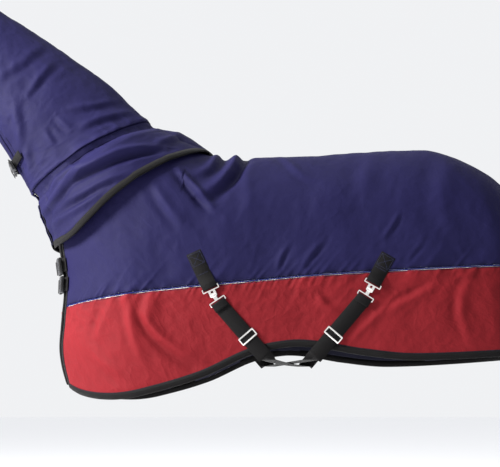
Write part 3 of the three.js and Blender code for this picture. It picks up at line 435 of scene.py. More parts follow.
def body_relief(side, t, q):
    """How far the whole quilt stands out of its form, and how far its outer cloth puckers."""
    x0 = nominal_x(t)
    pace = ROUNDING(x0) * QUARTER
    u, v = girth_run(t), q * pace
    spot = form_point(side, t, q)

    def as_cloth(points):
        out = []
        for x, z in points:
            turn = np.clip((-x - NOSE_START) / (CHEST(z) - NOSE_START), 0, 0.98)
            run = x if x > -NOSE_START else -NOSE_START - np.arcsin(turn) * (CHEST_REACH - NOSE_START)
            over = max(0.0, z - float(TOPLINE(x)))
            out.append((float(run), float(place_of_height(x, z) * ROUNDING(x) * QUARTER) - over))
        return out

    drawn = folds_at(u, v, [(h, w, lean, as_cloth(p)) for h, w, lean, p in BODY_FOLDS])
    if side == OFF:
        moved = [(h, w, lean, [(a + OFF_FOLD_SHIFT, b * OFF_FOLD_DEPTH) for a, b in as_cloth(p)])
                 for h, w, lean, p in BODY_FOLDS[WITHER_FOLDS:]]
        drawn = lerp(drawn, folds_at(u, v, moved), smoothstep(0.04, 0.3, v))
    broad = 0.0035 * layered_noise(u * 4.5, v * 3.5, 11, 2) + 0.0012 * layered_noise(u * 17, v * 13, 23, 2)
    own = 0.002 * layered_noise(u * 9 + side, v * 8, 31 + side, 3)
    relief = drawn + broad + own * smoothstep(0.02, 0.2, v)

    under_cape, _ = fold_profile(spot[..., 0], spot[..., 2], CAPE_REAR)
    relief = relief * lerp(0.15, 1.0, smoothstep(-0.03, 0.035, under_cape))
    for line in QUIET_LINES:
        away, _ = fold_profile(spot[..., 0], spot[..., 2], line)
        relief = relief * lerp(0.12, 1.0, smoothstep(0.03, 0.075, np.abs(away)))
    chest = smoothstep(CHEST_STRAPS_FROM, CHEST_STRAPS_WHOLE, -t)
    chest = chest * smoothstep(CHEST_STRAPS_FOOT, CHEST_STRAPS_TOP, spot[..., 2])
    relief = relief * (1 - 0.9 * chest)

    top, _, seam, _, hem = body_edges(t)
    from_seam = np.abs(q - seam) * pace
    below = q > seam
    skew = np.where(below, PUCKER_LEAN_BELOW, PUCKER_LEAN_ABOVE) * from_seam
    pitch = np.where(below, PUCKERS_BELOW, PUCKERS_ABOVE)
    reach = np.where(below, PUCKER_REACH_BELOW, PUCKER_REACH_ABOVE)
    strength = 0.55 + 0.45 * lattice_noise(u * 5, 0 * u, 41 + side)
    gather = ridged(lattice_noise((u - skew) * pitch, v * 3, 43 + side))
    gather = (1.6 * gather ** 3 - 0.4) * np.exp(-from_seam / reach) * strength
    near_hem = np.exp(-(hem - q) * pace / HEM_PUCKER_REACH)
    hem_gather = ridged(lattice_noise(u * HEM_PUCKERS, v * 4, 47 + side)) * near_hem
    pucker = 0.0032 * (gather - 0.35 * np.exp(-from_seam / 0.03)) + 0.0014 * hem_gather
    crumple = ridged(layered_noise(u * 26 + v * 9, v * 22, 53 + side, 2))
    slack = np.where(below, 1.6, 0.8) * np.exp(-from_seam / 0.12) + 0.5
    pucker = pucker + 0.0009 * slack * crumple
    pucker = pucker - SEAM_SINK * np.exp(-((from_seam / SEAM_SINK_REACH) ** 2))
    edge = np.minimum((hem - q) * pace, u - girth_run(t.min()))
    edge = np.minimum(edge, girth_run(t.max()) - u)
    edge = np.where(x0 < NECKLINE_X + 0.03, np.minimum(edge, (q - top) * pace), edge)
    calm = smoothstep(0.0, 0.02, edge)
    spine = smoothstep(0.0, 0.02, v)
    pucker = PUCKER_STRENGTH * pucker * calm * np.where(top > 0, 1.0, spine)
    return relief * lerp(0.5, 1, calm), pucker * (1 - 0.7 * chest)


THROAT_CLOSURES = (0.54, 0.8)


def neck_relief(s, angle, folds, pace):
    spot = neck_point(s, angle)
    x, z = spot[..., 0], spot[..., 2]
    around = np.abs(angle)
    relief = folds_at(x, z, folds) * smoothstep(0.05, 0.5, around + 0.25)
    relief = relief + 0.003 * layered_noise(x * 6, z * 6, 61, 2)
    relief = relief + 0.002 * layered_noise(s * 10, angle * 2.5, 67, 3) * smoothstep(0.05, 0.6, around)
    from_seam = np.abs(s - SEAM_RUN) * pace
    near_seam = np.exp(-np.maximum(0, from_seam - 0.03) / 0.035)
    gather = ridged(lattice_noise(angle * 9 + s * 6, s * 9, 71)) * near_seam
    crumple = ridged(layered_noise(s * 24, angle * 4.5, 73, 2))
    pucker = 0.0042 * gather + 0.0009 * crumple
    strap = sum(np.exp(-(((s - place) * pace / 0.03) ** 2)) for place in THROAT_CLOSURES)
    held = 1 - 0.9 * np.minimum(1, strap) * smoothstep(1.75, 2.0, around)
    return relief * held, PUCKER_STRENGTH * pucker * smoothstep(0.0, 0.1, around) * held


# ---------------------------------------------------------------- mesh builders


def new_piece(name, points, faces, uvs=None, masks=None):
    """Mesh object at the origin. uvs is one pair per corner; masks is name to one value per point."""
    mesh = bpy.data.meshes.new(name)
    mesh.from_pydata(points.tolist(), [], [tuple(f) for f in faces])
    if uvs is not None:
        layer = mesh.uv_layers.new(name="cloth")
        layer.data.foreach_set("uv", np.asarray(uvs, np.float32).ravel())
    for mask, values in (masks or {}).items():
        attribute = mesh.attributes.new(mask, "FLOAT", "POINT")
        attribute.data.foreach_set("value", np.asarray(values, np.float32).ravel())
    mesh.polygons.foreach_set("use_smooth", np.ones(len(mesh.polygons), bool))
    mesh.update()
    piece = bpy.data.objects.new(name, mesh)
    bpy.context.scene.collection.objects.link(piece)
    return piece


def grid_quads(rows, columns, start, flip):
    i, j = np.meshgrid(np.arange(rows - 1), np.arange(columns - 1), indexing="ij")
    a = start + (i * columns + j).ravel()
    quads = np.stack([a, a + columns, a + columns + 1, a + 1], -1)
    return quads[:, ::-1] if flip else quads


def cloth_piece(name, low, high, uv, masks):
    """Closed sheet between two grids of points of shape (rows, columns, 3)."""
    rows, columns = low.shape[:2]
    count = rows * columns
    points = np.concatenate([high.reshape(-1, 3), low.reshape(-1, 3)])
    middle = low[rows // 2, columns // 2]
    across = high[rows // 2, columns // 2] - middle
    d_row = high[rows // 2 + 1, columns // 2] - high[rows // 2, columns // 2]
    d_column = high[rows // 2, columns // 2 + 1] - high[rows // 2, columns // 2]
    flip = np.dot(np.cross(d_row, d_column), across) < 0
    top = grid_quads(rows, columns, 0, flip)
    bottom = grid_quads(rows, columns, count, not flip)
    index = np.arange(count).reshape(rows, columns)
    rim = np.concatenate([index[:, 0], index[-1, 1:], index[-2::-1, -1], index[0, -2:0:-1]])
    after = np.roll(rim, -1)
    wall = np.stack([rim, after, after + count, rim + count], -1)
    wall = wall[:, ::-1] if not flip else wall
    faces = np.concatenate([top, bottom, wall])
    per_point = np.concatenate([uv.reshape(-1, 2), uv.reshape(-1, 2)])
    doubled = {k: np.concatenate([m.ravel(), m.ravel()]) for k, m in masks.items()}
    return new_piece(name, points, faces, per_point[faces.ravel()], doubled)


def frames_along(path, normals, handed):
    """Outward reach from an edge at each point of a path, mitred at corners."""
    spans = unit(np.diff(path, axis=0))
    before = np.concatenate([spans[:1], spans])
    after = np.concatenate([spans, spans[-1:]])
    reach_before = unit(np.cross(before, normals) * handed)
    reach_after = unit(np.cross(after, normals) * handed)
    reach = unit(reach_before + reach_after)
    scale = 1 / np.maximum(0.5, (reach * reach_after).sum(-1, keepdims=True))
    return reach * scale


def swept_piece(name, rings, uv_around, uv_along, closed_ends=True):
    """Closed tube through rings of points of shape (stations, sides, 3)."""
    stations, sides = rings.shape[:2]
    points = rings.reshape(-1, 3)
    i, k = np.meshgrid(np.arange(stations - 1), np.arange(sides), indexing="ij")
    m = (k + 1) % sides
    corners = [i * sides + k, i * sides + m, (i + 1) * sides + m, (i + 1) * sides + k]
    quads = np.stack(corners, -1).reshape(-1, 4)
    centre = rings.mean(1)
    a, b = rings[0, 0] - centre[0], rings[0, 1] - centre[0]
    turned = np.dot(np.cross(a, b), centre[1] - centre[0]) > 0
    faces = quads[:, ::-1].tolist() if not turned else quads.tolist()
    first, last = list(range(sides)), list(range((stations - 1) * sides, stations * sides))
    if closed_ends:
        faces.append(first[::-1] if turned else first)
        faces.append(last if turned else last[::-1])
    around = np.append(uv_around, uv_around[-1] + uv_around[1] - uv_around[0])
    uvs = []
    for n, face in enumerate(faces):
        for corner in face:
            row, column = divmod(corner, sides)
            if n < len(quads) and column == 0 and max(c % sides for c in face) == sides - 1:
                column = sides
            uvs.append((uv_along[row], around[column]))
    piece = new_piece(name, points, faces, uvs)
    fix_normals(piece)
    return piece


def fix_normals(piece):
    mesh = bmesh.new()
    mesh.from_mesh(piece.data)
    bmesh.ops.recalc_face_normals(mesh, faces=mesh.faces)
    if mesh.calc_volume(signed=True) < 0:
        bmesh.ops.reverse_faces(mesh, faces=mesh.faces)
    mesh.to_mesh(piece.data)
    mesh.free()


def walked(path):
    return np.concatenate([[0], np.cumsum(np.linalg.norm(np.diff(path, axis=0), axis=1))])


def settle(piece, body, material, slot, *nodes):
    """Gives a finished piece its material and its body, and hides the nodes it stands for; slot is not used.
    """
    piece.data.materials.clear()
    piece.data.materials.append(material)
    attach(piece, body)
    if nodes:
        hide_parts(*nodes)
    return piece


def sheet_area(grid):
    along = np.diff(grid, axis=0)[:, :-1]
    down = np.diff(grid, axis=1)[:-1]
    return float(np.linalg.norm(np.cross(along, down), axis=-1).sum())


# ---------------------------------------------------------------- materials


def add_node(tree, kind, **values):
    node = tree.nodes.new(kind)
    for key, value in values.items():
        if key in node.inputs:
            node.inputs[key].default_value = value
        else:
            setattr(node, key, value)
    return node


def maths(tree, operation, *sources):
    node = tree.nodes.new("ShaderNodeMath")
    node.operation = operation
    for k, source in enumerate(sources):
        if isinstance(source, bpy.types.NodeSocket):
            tree.links.new(source, node.inputs[k])
        else:
            node.inputs[k].default_value = source
    return node.outputs[0]


def new_group(name, inputs, outputs):
    group = bpy.data.node_groups.new(name, "ShaderNodeTree")
    for socket, kind, value in inputs:
        made = group.interface.new_socket(socket, in_out="INPUT", socket_type=kind)
        if value is not None:
            made.default_value = value
    for socket, kind in outputs:
        group.interface.new_socket(socket, in_out="OUTPUT", socket_type=kind)
    return group, group.nodes.new("NodeGroupInput"), group.nodes.new("NodeGroupOutput")


FLOAT, COLOUR, VECTOR = "NodeSocketFloat", "NodeSocketColor", "NodeSocketVector"


def weave_group():
    """Plain weave: over-and-under threads from the cloth's own UV, in metres."""
    group, given, result = new_group(
        "woven_threads",
        [("UV", VECTOR, None), ("Pitch", FLOAT, 0.001), ("Slub", FLOAT, 0.3)],
        [("Height", FLOAT), ("Thread", FLOAT)],
    )
    split = group.nodes.new("ShaderNodeSeparateXYZ")
    group.links.new(given.outputs["UV"], split.inputs[0])
    turns = maths(group, "DIVIDE", math.pi, given.outputs["Pitch"])
    across = maths(group, "MULTIPLY", split.outputs[0], turns)
    down = maths(group, "MULTIPLY", split.outputs[1], turns)
    warp = maths(group, "ABSOLUTE", maths(group, "SINE", across))
    weft = maths(group, "ABSOLUTE", maths(group, "SINE", down))
    over = maths(group, "SINE", maths(group, "ADD", across, down))
    height = maths(group, "ADD", maths(group, "MULTIPLY", warp, weft), maths(group, "MULTIPLY", over, 0.3))
    noise = add_node(group, "ShaderNodeTexNoise", Scale=420.0, Detail=2.0)
    group.links.new(given.outputs["UV"], noise.inputs["Vector"])
    slub = maths(group, "MULTIPLY", noise.outputs["Fac"], given.outputs["Slub"])
    group.links.new(maths(group, "ADD", height, slub), result.inputs["Height"])
    group.links.new(maths(group, "MULTIPLY", warp, weft), result.inputs["Thread"])
    return group


def mottle_and_fold_shade_group():
    """Slow and fine changes of colour over the cloth, with a painted highlight on folds and painted shade in
    hollows.
    """
    group, given, result = new_group(
        "cloth_mottle_and_fold_shade",
        [("Vector", VECTOR, None), ("Colour", COLOUR, (0.5, 0.5, 0.5, 1)), ("Fold", FLOAT, 0.5),
         ("Amount", FLOAT, 0.2)],
        [("Colour", COLOUR), ("Roughness", FLOAT)],
    )
    slow = add_node(group, "ShaderNodeTexNoise", Scale=3.2, Detail=3.0)
    fine = add_node(group, "ShaderNodeTexNoise", Scale=60.0, Detail=3.0)
    for noise in (slow, fine):
        group.links.new(given.outputs["Vector"], noise.inputs["Vector"])
    mixed = maths(group, "ADD", maths(group, "MULTIPLY", slow.outputs["Fac"], 0.6),
                  maths(group, "MULTIPLY", fine.outputs["Fac"], 0.4))
    swing = maths(group, "SUBTRACT", mixed, 0.5)
    # Fold above 0.5 paints a highlight, below 0.5 paints shade.
    fold = maths(group, "SUBTRACT", given.outputs["Fold"], 0.5)
    bright = maths(group, "ADD", maths(group, "MULTIPLY", swing, given.outputs["Amount"]),
                   maths(group, "MULTIPLY", fold, 0.35))
    hue = group.nodes.new("ShaderNodeHueSaturation")
    group.links.new(given.outputs["Colour"], hue.inputs["Color"])
    group.links.new(maths(group, "ADD", bright, 1.0), hue.inputs["Value"])
    group.links.new(hue.outputs["Color"], result.inputs["Colour"])
    rough = maths(group, "ADD", maths(group, "MULTIPLY", swing, 0.25), 0.62)
    group.links.new(rough, result.inputs["Roughness"])
    return group


def wear_group():
    """Fine scuffs for metal and plastic, from Object coordinates."""
    group, given, result = new_group(
        "fine_scuffs",
        [("Vector", VECTOR, None), ("Colour", COLOUR, (0.5, 0.5, 0.5, 1)), ("Roughness", FLOAT, 0.3)],
        [("Colour", COLOUR), ("Roughness", FLOAT), ("Height", FLOAT)],
    )
    noise = add_node(group, "ShaderNodeTexNoise", Scale=240.0, Detail=4.0)
    cloud = add_node(group, "ShaderNodeTexNoise", Scale=35.0, Detail=2.0)
    for node in (noise, cloud):
        group.links.new(given.outputs["Vector"], node.inputs["Vector"])
    hue = group.nodes.new("ShaderNodeHueSaturation")
    group.links.new(given.outputs["Colour"], hue.inputs["Color"])
    shade = maths(group, "ADD", maths(group, "MULTIPLY", cloud.outputs["Fac"], 0.3), 0.85)
    group.links.new(shade, hue.inputs["Value"])
    group.links.new(hue.outputs["Color"], result.inputs["Colour"])
    swing = maths(group, "MULTIPLY", maths(group, "SUBTRACT", noise.outputs["Fac"], 0.5), 0.3)
    group.links.new(maths(group, "ADD", given.outputs["Roughness"], swing), result.inputs["Roughness"])
    group.links.new(noise.outputs["Fac"], result.inputs["Height"])
    return group


def crease_group():
    """Small irregular creases of a coated cloth, as a height."""
    group, given, result = new_group(
        "small_creases", [("Vector", VECTOR, None), ("Size", FLOAT, 1.0)], [("Height", FLOAT)])
    scaled = add_node(group, "ShaderNodeVectorMath", operation="SCALE")
    group.links.new(given.outputs["Vector"], scaled.inputs[0])
    group.links.new(given.outputs["Size"], scaled.inputs["Scale"])
    heights = []
    for scale, share in ((15.0, 1.0), (42.0, 0.45)):
        noise = add_node(group, "ShaderNodeTexNoise", Scale=scale, Detail=1.5, Distortion=0.35)
        group.links.new(scaled.outputs[0], noise.inputs["Vector"])
        away = maths(group, "ABSOLUTE", maths(group, "SUBTRACT", noise.outputs["Fac"], 0.5))
        ridge = maths(group, "POWER", maths(group, "SUBTRACT", 1.0, maths(group, "MULTIPLY", away, 2.6)), 3.0)
        heights.append(maths(group, "MULTIPLY", ridge, share))
    patches = add_node(group, "ShaderNodeTexNoise", Scale=4.5, Detail=1.0)
    group.links.new(scaled.outputs[0], patches.inputs["Vector"])
    both = maths(group, "ADD", *heights)
    group.links.new(maths(group, "MULTIPLY", both, maths(group, "MULTIPLY", patches.outputs["Fac"], 1.8)),
                    result.inputs["Height"])
    return group


GROUPS = {}


def shared_group(kind):
    makers = {"weave": weave_group, "mottle_and_shade": mottle_and_fold_shade_group, "wear": wear_group, "crease": crease_group}
    if kind not in GROUPS:
        GROUPS[kind] = makers[kind]()
    return GROUPS[kind]


def place_group(tree, kind):
    node = tree.nodes.new("ShaderNodeGroup")
    node.node_tree = shared_group(kind)
    return node


def start_material(name):
    material = bpy.data.materials.new(name)
    material.use_nodes = True
    return material, material.node_tree, material.node_tree.nodes["Principled BSDF"]


def cloth_material(name, colour, pitch=0.0011, relief=0.00025, sheen=0.025, amount=0.25, roughness=None,
                   crease=0.0):
    """Woven cloth: its threads follow the piece's UV map, and the fold mask paints a highlight on its ridges
    and shade in its hollows.
    """
    material, tree, shader = start_material(name)
    uv = add_node(tree, "ShaderNodeUVMap", uv_map="cloth")
    weave = place_group(tree, "weave")
    weave.inputs["Pitch"].default_value = pitch
    tree.links.new(uv.outputs[0], weave.inputs["UV"])
    # Fold attribute: painted highlight on ridges, painted shade in hollows.
    fold = add_node(tree, "ShaderNodeAttribute", attribute_name="fold")
    mottle_and_shade = place_group(tree, "mottle_and_shade")
    mottle_and_shade.inputs["Colour"].default_value = (*colour, 1)
    mottle_and_shade.inputs["Amount"].default_value = amount
    tree.links.new(uv.outputs[0], mottle_and_shade.inputs["Vector"])
    tree.links.new(fold.outputs["Fac"], mottle_and_shade.inputs["Fold"])
    shade = add_node(tree, "ShaderNodeMix", data_type="RGBA", blend_type="MULTIPLY")
    shade.inputs["Factor"].default_value = 0.35
    grey = maths(tree, "ADD", maths(tree, "MULTIPLY", weave.outputs["Thread"], 0.7), 0.65)
    tree.links.new(mottle_and_shade.outputs["Colour"], shade.inputs["A"])
    tree.links.new(grey, shade.inputs["B"])
    tree.links.new(shade.outputs["Result"], shader.inputs["Base Color"])
    bump = add_node(tree, "ShaderNodeBump", Strength=0.5, Distance=relief)
    tree.links.new(weave.outputs["Height"], bump.inputs["Height"])
    if crease:
        creases = place_group(tree, "crease")
        tree.links.new(uv.outputs[0], creases.inputs["Vector"])
        creased = add_node(tree, "ShaderNodeBump", Strength=1.0, Distance=crease)
        tree.links.new(creases.outputs["Height"], creased.inputs["Height"])
        tree.links.new(creased.outputs[0], bump.inputs["Normal"])
    tree.links.new(bump.outputs[0], shader.inputs["Normal"])
    if roughness is None:
        tree.links.new(mottle_and_shade.outputs["Roughness"], shader.inputs["Roughness"])
    else:
        shader.inputs["Roughness"].default_value = roughness
    shader.inputs["Sheen Weight"].default_value = sheen
    shader.inputs["Sheen Roughness"].default_value = 0.45
    shader.inputs["Specular IOR Level"].default_value = 0.04
    shader.inputs["Sheen Tint"].default_value = (*(min(1, 7 * c) for c in colour), 1)
    return material


def webbing_material(name, colour, rib=0.0032):
    """Woven tape with ribs across it and a herringbone along them."""
    material, tree, shader = start_material(name)
    uv = add_node(tree, "ShaderNodeUVMap", uv_map="cloth")
    split = tree.nodes.new("ShaderNodeSeparateXYZ")
    tree.links.new(uv.outputs[0], split.inputs[0])
    along = maths(tree, "MULTIPLY", split.outputs[0], 2 * math.pi / rib)
    across = maths(tree, "MULTIPLY", split.outputs[1], 2 * math.pi / (1.6 * rib))
    zigzag = maths(tree, "ADD", along, maths(tree, "MULTIPLY", maths(tree, "SINE", across), 1.1))
    ribs = maths(tree, "SINE", zigzag)
    threads = maths(tree, "SINE", maths(tree, "MULTIPLY", split.outputs[1], 2 * math.pi / 0.0011))
    height = maths(tree, "ADD", ribs, maths(tree, "MULTIPLY", threads, 0.35))
    mottle_and_shade = place_group(tree, "mottle_and_shade")
    mottle_and_shade.inputs["Colour"].default_value = (*colour, 1)
    mottle_and_shade.inputs["Amount"].default_value = 0.5
    tree.links.new(uv.outputs[0], mottle_and_shade.inputs["Vector"])
    mottle_and_shade.inputs["Fold"].default_value = 0.5
    shade = add_node(tree, "ShaderNodeMix", data_type="RGBA", blend_type="MULTIPLY")
    shade.inputs["Factor"].default_value = 0.5
    tree.links.new(mottle_and_shade.outputs["Colour"], shade.inputs["A"])
    tree.links.new(maths(tree, "ADD", maths(tree, "MULTIPLY", ribs, 0.3), 0.75), shade.inputs["B"])
    tree.links.new(shade.outputs["Result"], shader.inputs["Base Color"])
    bump = add_node(tree, "ShaderNodeBump", Strength=0.6, Distance=0.0004)
    tree.links.new(height, bump.inputs["Height"])
    tree.links.new(bump.outputs[0], shader.inputs["Normal"])
    tree.links.new(mottle_and_shade.outputs["Roughness"], shader.inputs["Roughness"])
    shader.inputs["Sheen Weight"].default_value = 0.02
    shader.inputs["Specular IOR Level"].default_value = 0.06
    return material


def hard_material(name, colour, metallic, roughness, relief):
    material, tree, shader = start_material(name)
    place = tree.nodes.new("ShaderNodeTexCoord")
    wear = place_group(tree, "wear")
    wear.inputs["Colour"].default_value = (*colour, 1)
    wear.inputs["Roughness"].default_value = roughness
    tree.links.new(place.outputs["Object"], wear.inputs["Vector"])
    tree.links.new(wear.outputs["Colour"], shader.inputs["Base Color"])
    tree.links.new(wear.outputs["Roughness"], shader.inputs["Roughness"])
    bump = add_node(tree, "ShaderNodeBump", Strength=0.3, Distance=relief)
    tree.links.new(wear.outputs["Height"], bump.inputs["Height"])
    tree.links.new(bump.outputs[0], shader.inputs["Normal"])
    shader.inputs["Metallic"].default_value = metallic
    return material


MATERIALS = {}


def finish_of(kind):
    """The object's finishes, each made when it is first asked for."""
    cloth = bpy.context.scene.rug_cloth
    if kind not in MATERIALS:
        makers = {
            "navy_cloth": lambda: cloth_material("navy_oxford", cloth.navy, crease=0.0005),
            "red_cloth": lambda: cloth_material("red_oxford", cloth.red, crease=0.0011),
            "piping": lambda: cloth_material("blue_piping", cloth.piping, 0.0007, 0.0001, 0.1),
            "binding_tape": lambda: webbing_material("black_binding", cloth.tape, 0.0018),
            "webbing": lambda: webbing_material("black_webbing", cloth.tape),
            "wadding": lambda: cloth_material("white_fill", (0.75, 0.75, 0.72), 0.004, 0.001, 0.1, 0.4, 0.95),
            "lining": lambda: cloth_material("dark_lining", cloth.lining, 0.0006, 0.0001, 0.15, 0.2, 0.5),
            "thread": lambda: cloth_material("sewing_thread", cloth.thread, 0.0006, 0.0001, 0.3, 0.2, 0.6),
            "plastic": lambda: hard_material("black_acetal", (0.018, 0.018, 0.021), 0.0, 0.36, 0.0001),
            "nickel": lambda: hard_material("nickel_plate", (0.82, 0.80, 0.77), 1.0, 0.2, 0.00004),
        }
        MATERIALS[kind] = makers[kind]()
    return MATERIALS[kind]


# ---------------------------------------------------------------- settings


def colour_setting(name, description, value):
    return bpy.props.FloatVectorProperty(
        name=name, description=description, subtype="COLOR", size=3, min=0, max=1, default=value)


def length_setting(name, description, value):
    return bpy.props.FloatProperty(
        name=name, description=description, default=value, min=0.0, subtype="DISTANCE", unit="LENGTH")


class RugClothSettings(bpy.types.PropertyGroup):
    navy: colour_setting("Upper cloth", "Colour of the upper panels and neck cover", (0.0074, 0.0066, 0.0300))
    red: colour_setting("Lower cloth", "Colour of the lower panels", (0.102, 0.0065, 0.009))
    piping: colour_setting("Piping", "Colour of the seam's piping", (0.010, 0.014, 0.085))
    tape: colour_setting("Tape", "Colour of binding and webbing", (0.0028, 0.0025, 0.0028))
    lining: colour_setting("Lining", "Colour of the lining", (0.010, 0.010, 0.018))
    thread: colour_setting("Thread", "Colour of the seams' thread", (0.02, 0.022, 0.05))
    spacing: length_setting("Mesh spacing", "Distance between the cloth's mesh rows", 0.0052)


class RugStageSettings(bpy.types.PropertyGroup):
    floor: colour_setting("Floor", "Colour of the studio floor", (0.95, 0.955, 0.97))
    floor_drop: length_setting("Floor drop", "Height of the withers above the floor", 1.56)
    key: bpy.props.FloatProperty(name="Key light", description="Power of the key light in watts",
                                 default=900.0, min=0.0)


def cloth_settings():
    return bpy.context.scene.rug_cloth


# ---------------------------------------------------------------- the stage


def add_lamp(name, place, target, size, power, colour):
    data = bpy.data.lights.new(name, "AREA")
    data.shape, data.size, data.energy, data.color = "SQUARE", size, power, colour
    lamp = bpy.data.objects.new(name, data)
    lamp.location = place
    lamp.rotation_euler = (Vector(target) - Vector(place)).to_track_quat("-Z", "Y").to_euler()
    bpy.context.scene.collection.objects.link(lamp)


CAMERA_PLACE = (0.165, -3.05, -0.865)
CAMERA_RISE = math.radians(11)
CAMERA_LENS, CAMERA_SENSOR = 61.2, 36.0  # millimetres


class RUG_OT_set_stage(bpy.types.Operator):
    """Camera, soft lights and a pale floor"""
    bl_idname = "rug.set_stage"
    bl_label = "Set Stage"

    def execute(self, context):
        stage = context.scene.rug_stage
        data = bpy.data.cameras.new("camera")
        data.lens, data.sensor_width = CAMERA_LENS, CAMERA_SENSOR
        camera = bpy.data.objects.new("camera", data)
        camera.location = CAMERA_PLACE
        camera.rotation_euler = (math.radians(90) + CAMERA_RISE, 0, 0)
        context.scene.collection.objects.link(camera)
        context.scene.camera = camera

        bpy.ops.mesh.primitive_plane_add(size=60, location=(0, 0, -stage.floor_drop))
        floor = context.object
        floor.name = "studio_floor"
        material, _, shader = start_material("studio_floor")
        shader.inputs["Base Color"].default_value = (*stage.floor, 1)
        shader.inputs["Roughness"].default_value = 0.9
        floor.data.materials.append(material)

        world = bpy.data.worlds.new("studio")
        world.use_nodes = True
        world.node_tree.nodes["Background"].inputs["Color"].default_value = (0.97, 0.98, 1.0, 1)
        world.node_tree.nodes["Background"].inputs["Strength"].default_value = 0.9
        context.scene.world = world
        context.scene.view_settings.view_transform = "Standard"

        middle = (0.0, 0.0, -0.3)
        add_lamp("key", (-3.7, -1.7, 1.3), middle, 1.3, stage.key, (1.0, 0.985, 0.96))
        add_lamp("top", (0.2, -0.6, 2.6), middle, 2.2, 0.06 * stage.key, (0.95, 0.97, 1.0))
        return {"FINISHED"}


# ---------------------------------------------------------------- body cloth


# Depths of pucker and fold at which the painted highlight and painted shade are full.
DEEP_PUCKER, DEEP_FOLD = 0.006, 0.03
DRAWN_DEPTHS = {"upper": 0.58, "lower": 0.33, "whole": 0.9}  # down the cloth, for the number of rows
FILL_SHARE = 0.4  # of the wadding's thickness, so that it stays below the hollows of the outer cloth
TURNED_IN = 0.003  # the outer cloth's extra thickness inwards


def fold_light_and_shade(relief, pucker):
    """Painted highlight on ridges and painted shade in hollows, from 0 to 1."""
    value = pucker / DEEP_PUCKER + relief / DEEP_FOLD
    return np.clip(0.5 + value - value.mean(), 0, 1)


def body_grids(side, spacing, part):
    """Places, relief and UV of one layer: part is upper, lower or whole."""
    t = body_stations(side, spacing)
    top, above, _, below, hem = body_edges(t)
    low, high = {"upper": (top, above), "lower": (below, hem), "whole": (top, hem)}[part]
    q = spread_rows(low, high, int(DRAWN_DEPTHS[part] / spacing))
    t = np.repeat(t[:, None], q.shape[1], 1)
    relief, pucker = body_relief(side, t, q)
    uv = np.stack([girth_run(t), q * ROUNDING(nominal_x(t)) * QUARTER], -1)
    return form_point(side, t, q), form_normal(side, t, q), relief, pucker, uv


def sunk(relief):
    """Relief of a layer beneath: lower ridges, and never above its lowest neighbour."""
    rows, columns = relief.shape
    padded = np.pad(relief, 1, mode="edge")
    lowest = np.min([padded[i:i + rows, j:j + columns] for i in range(3) for j in range(3)], axis=0)
    return np.minimum(lowest, 0.6 * lowest)


def body_layer(name, side, spacing, part, low, high, puckered):
    place, normal, relief, pucker, uv = body_grids(side, spacing, part)
    shape = relief if puckered else sunk(relief)
    base = place + normal * shape[..., None]
    outside = base + normal * (high + (pucker if puckered else 0 * pucker))[..., None]
    # The fold attribute is a painted highlight on ridges and painted shade in hollows.
    piece = cloth_piece(name, base + normal * low, outside, uv, {"fold": fold_light_and_shade(relief, pucker)})
    return piece, sheet_area(place)


class RUG_OT_cut_body_cloth(bpy.types.Operator):
    """Lining, wadding and outer panels of the rug's two sides"""
    bl_idname = "rug.cut_body_cloth"
    bl_label = "Cut Body Cloth"

    def execute(self, context):
        spacing = cloth_settings().spacing
        outer_low = LINING + GAP + WADDING + GAP
        for side, name in SIDES:
            lining, area = body_layer(f"lining_{name}", side, 2 * spacing, "whole", 0, LINING, False)
            settle(lining, "rug", finish_of("lining"), "lining", f"body_lining_{name}")

            fill, area = body_layer(f"wadding_{name}", side, 2.2 * spacing, "whole",
                                    LINING + GAP, LINING + GAP + FILL_SHARE * WADDING, False)
            settle(fill, "rug", finish_of("wadding"), "wadding", f"body_wadding_{name}")

            for part, colour in (("upper", "navy_cloth"), ("lower", "red_cloth")):
                cloth, area = body_layer(f"{part}_cloth_{name}", side, spacing, part,
                                         outer_low - TURNED_IN, QUILT, True)
                settle(cloth, "rug", finish_of(colour), colour, f"{part}_panel_{name}")
        return {"FINISHED"}


def body_edge_path(side):
    """Places round a side's edge, from its rear top corner down, forward and back up."""
    row = body_stations(side, 0.008)
    top, _, _, _, hem = body_edges(row)
    front, rear = row[0], row[-1]
    rear_q = np.linspace(top[-1], hem[-1], EDGE_STEPS)
    front_q = np.linspace(hem[0], top[0], FRONT_STEPS)
    neck = (nominal_x(row) <= NECKLINE_X + 0.001)
    t = np.concatenate([np.full(EDGE_STEPS, rear), row[-2:0:-1], np.full(FRONT_STEPS, front), row[neck][1:]])
    q = np.concatenate([rear_q, hem[-2:0:-1], front_q, top[neck][1:]])
    return t, q


TAPE_THICKNESS = 0.0011
EDGE_STEPS, FRONT_STEPS = 90, 60  # places down a side's rear edge and up its front edge


def tape_rings(edge, normals, reach, thickness, lap, width):
    """Tape folded round an edge: it laps over both faces and closes outside the edge."""
    half = thickness / 2
    outer = [(-lap, half + TAPE_THICKNESS), (0.35 * width, half + TAPE_THICKNESS),
             (0.75 * width, 0.8 * half + TAPE_THICKNESS), (0.96 * width, 0.4 * half + TAPE_THICKNESS),
             (width, 0)]
    inner = [(0.8 * width, 0), (0.7 * width, 0.55 * half), (0.3 * width, half + GAP), (-lap, half + GAP)]
    section = outer + [(e, -n) for e, n in outer[-2::-1]]
    section += [(e, -n) for e, n in inner[:0:-1]] + inner
    e, n = np.array(section).T
    points = edge[:, None] + reach[:, None] * e[None, :, None]
    return points + normals[:, None] * (n + half)[None, :, None]


def bound_edge(name, edge, normals, handed, thickness, flat_ends, lap=0.005):
    reach = frames_along(edge, normals, handed)
    if flat_ends:
        for k in (0, 1, -1, -2):
            if abs(edge[k][1]) < 0.004:
                reach[k, 1] = 0
                normals[k, 1] = 0
    rings = tape_rings(edge, normals, reach, thickness, lap, BINDING_WIDTH)
    around = np.linspace(0, 0.05, rings.shape[1])
    return swept_piece(name, rings, around, walked(edge))


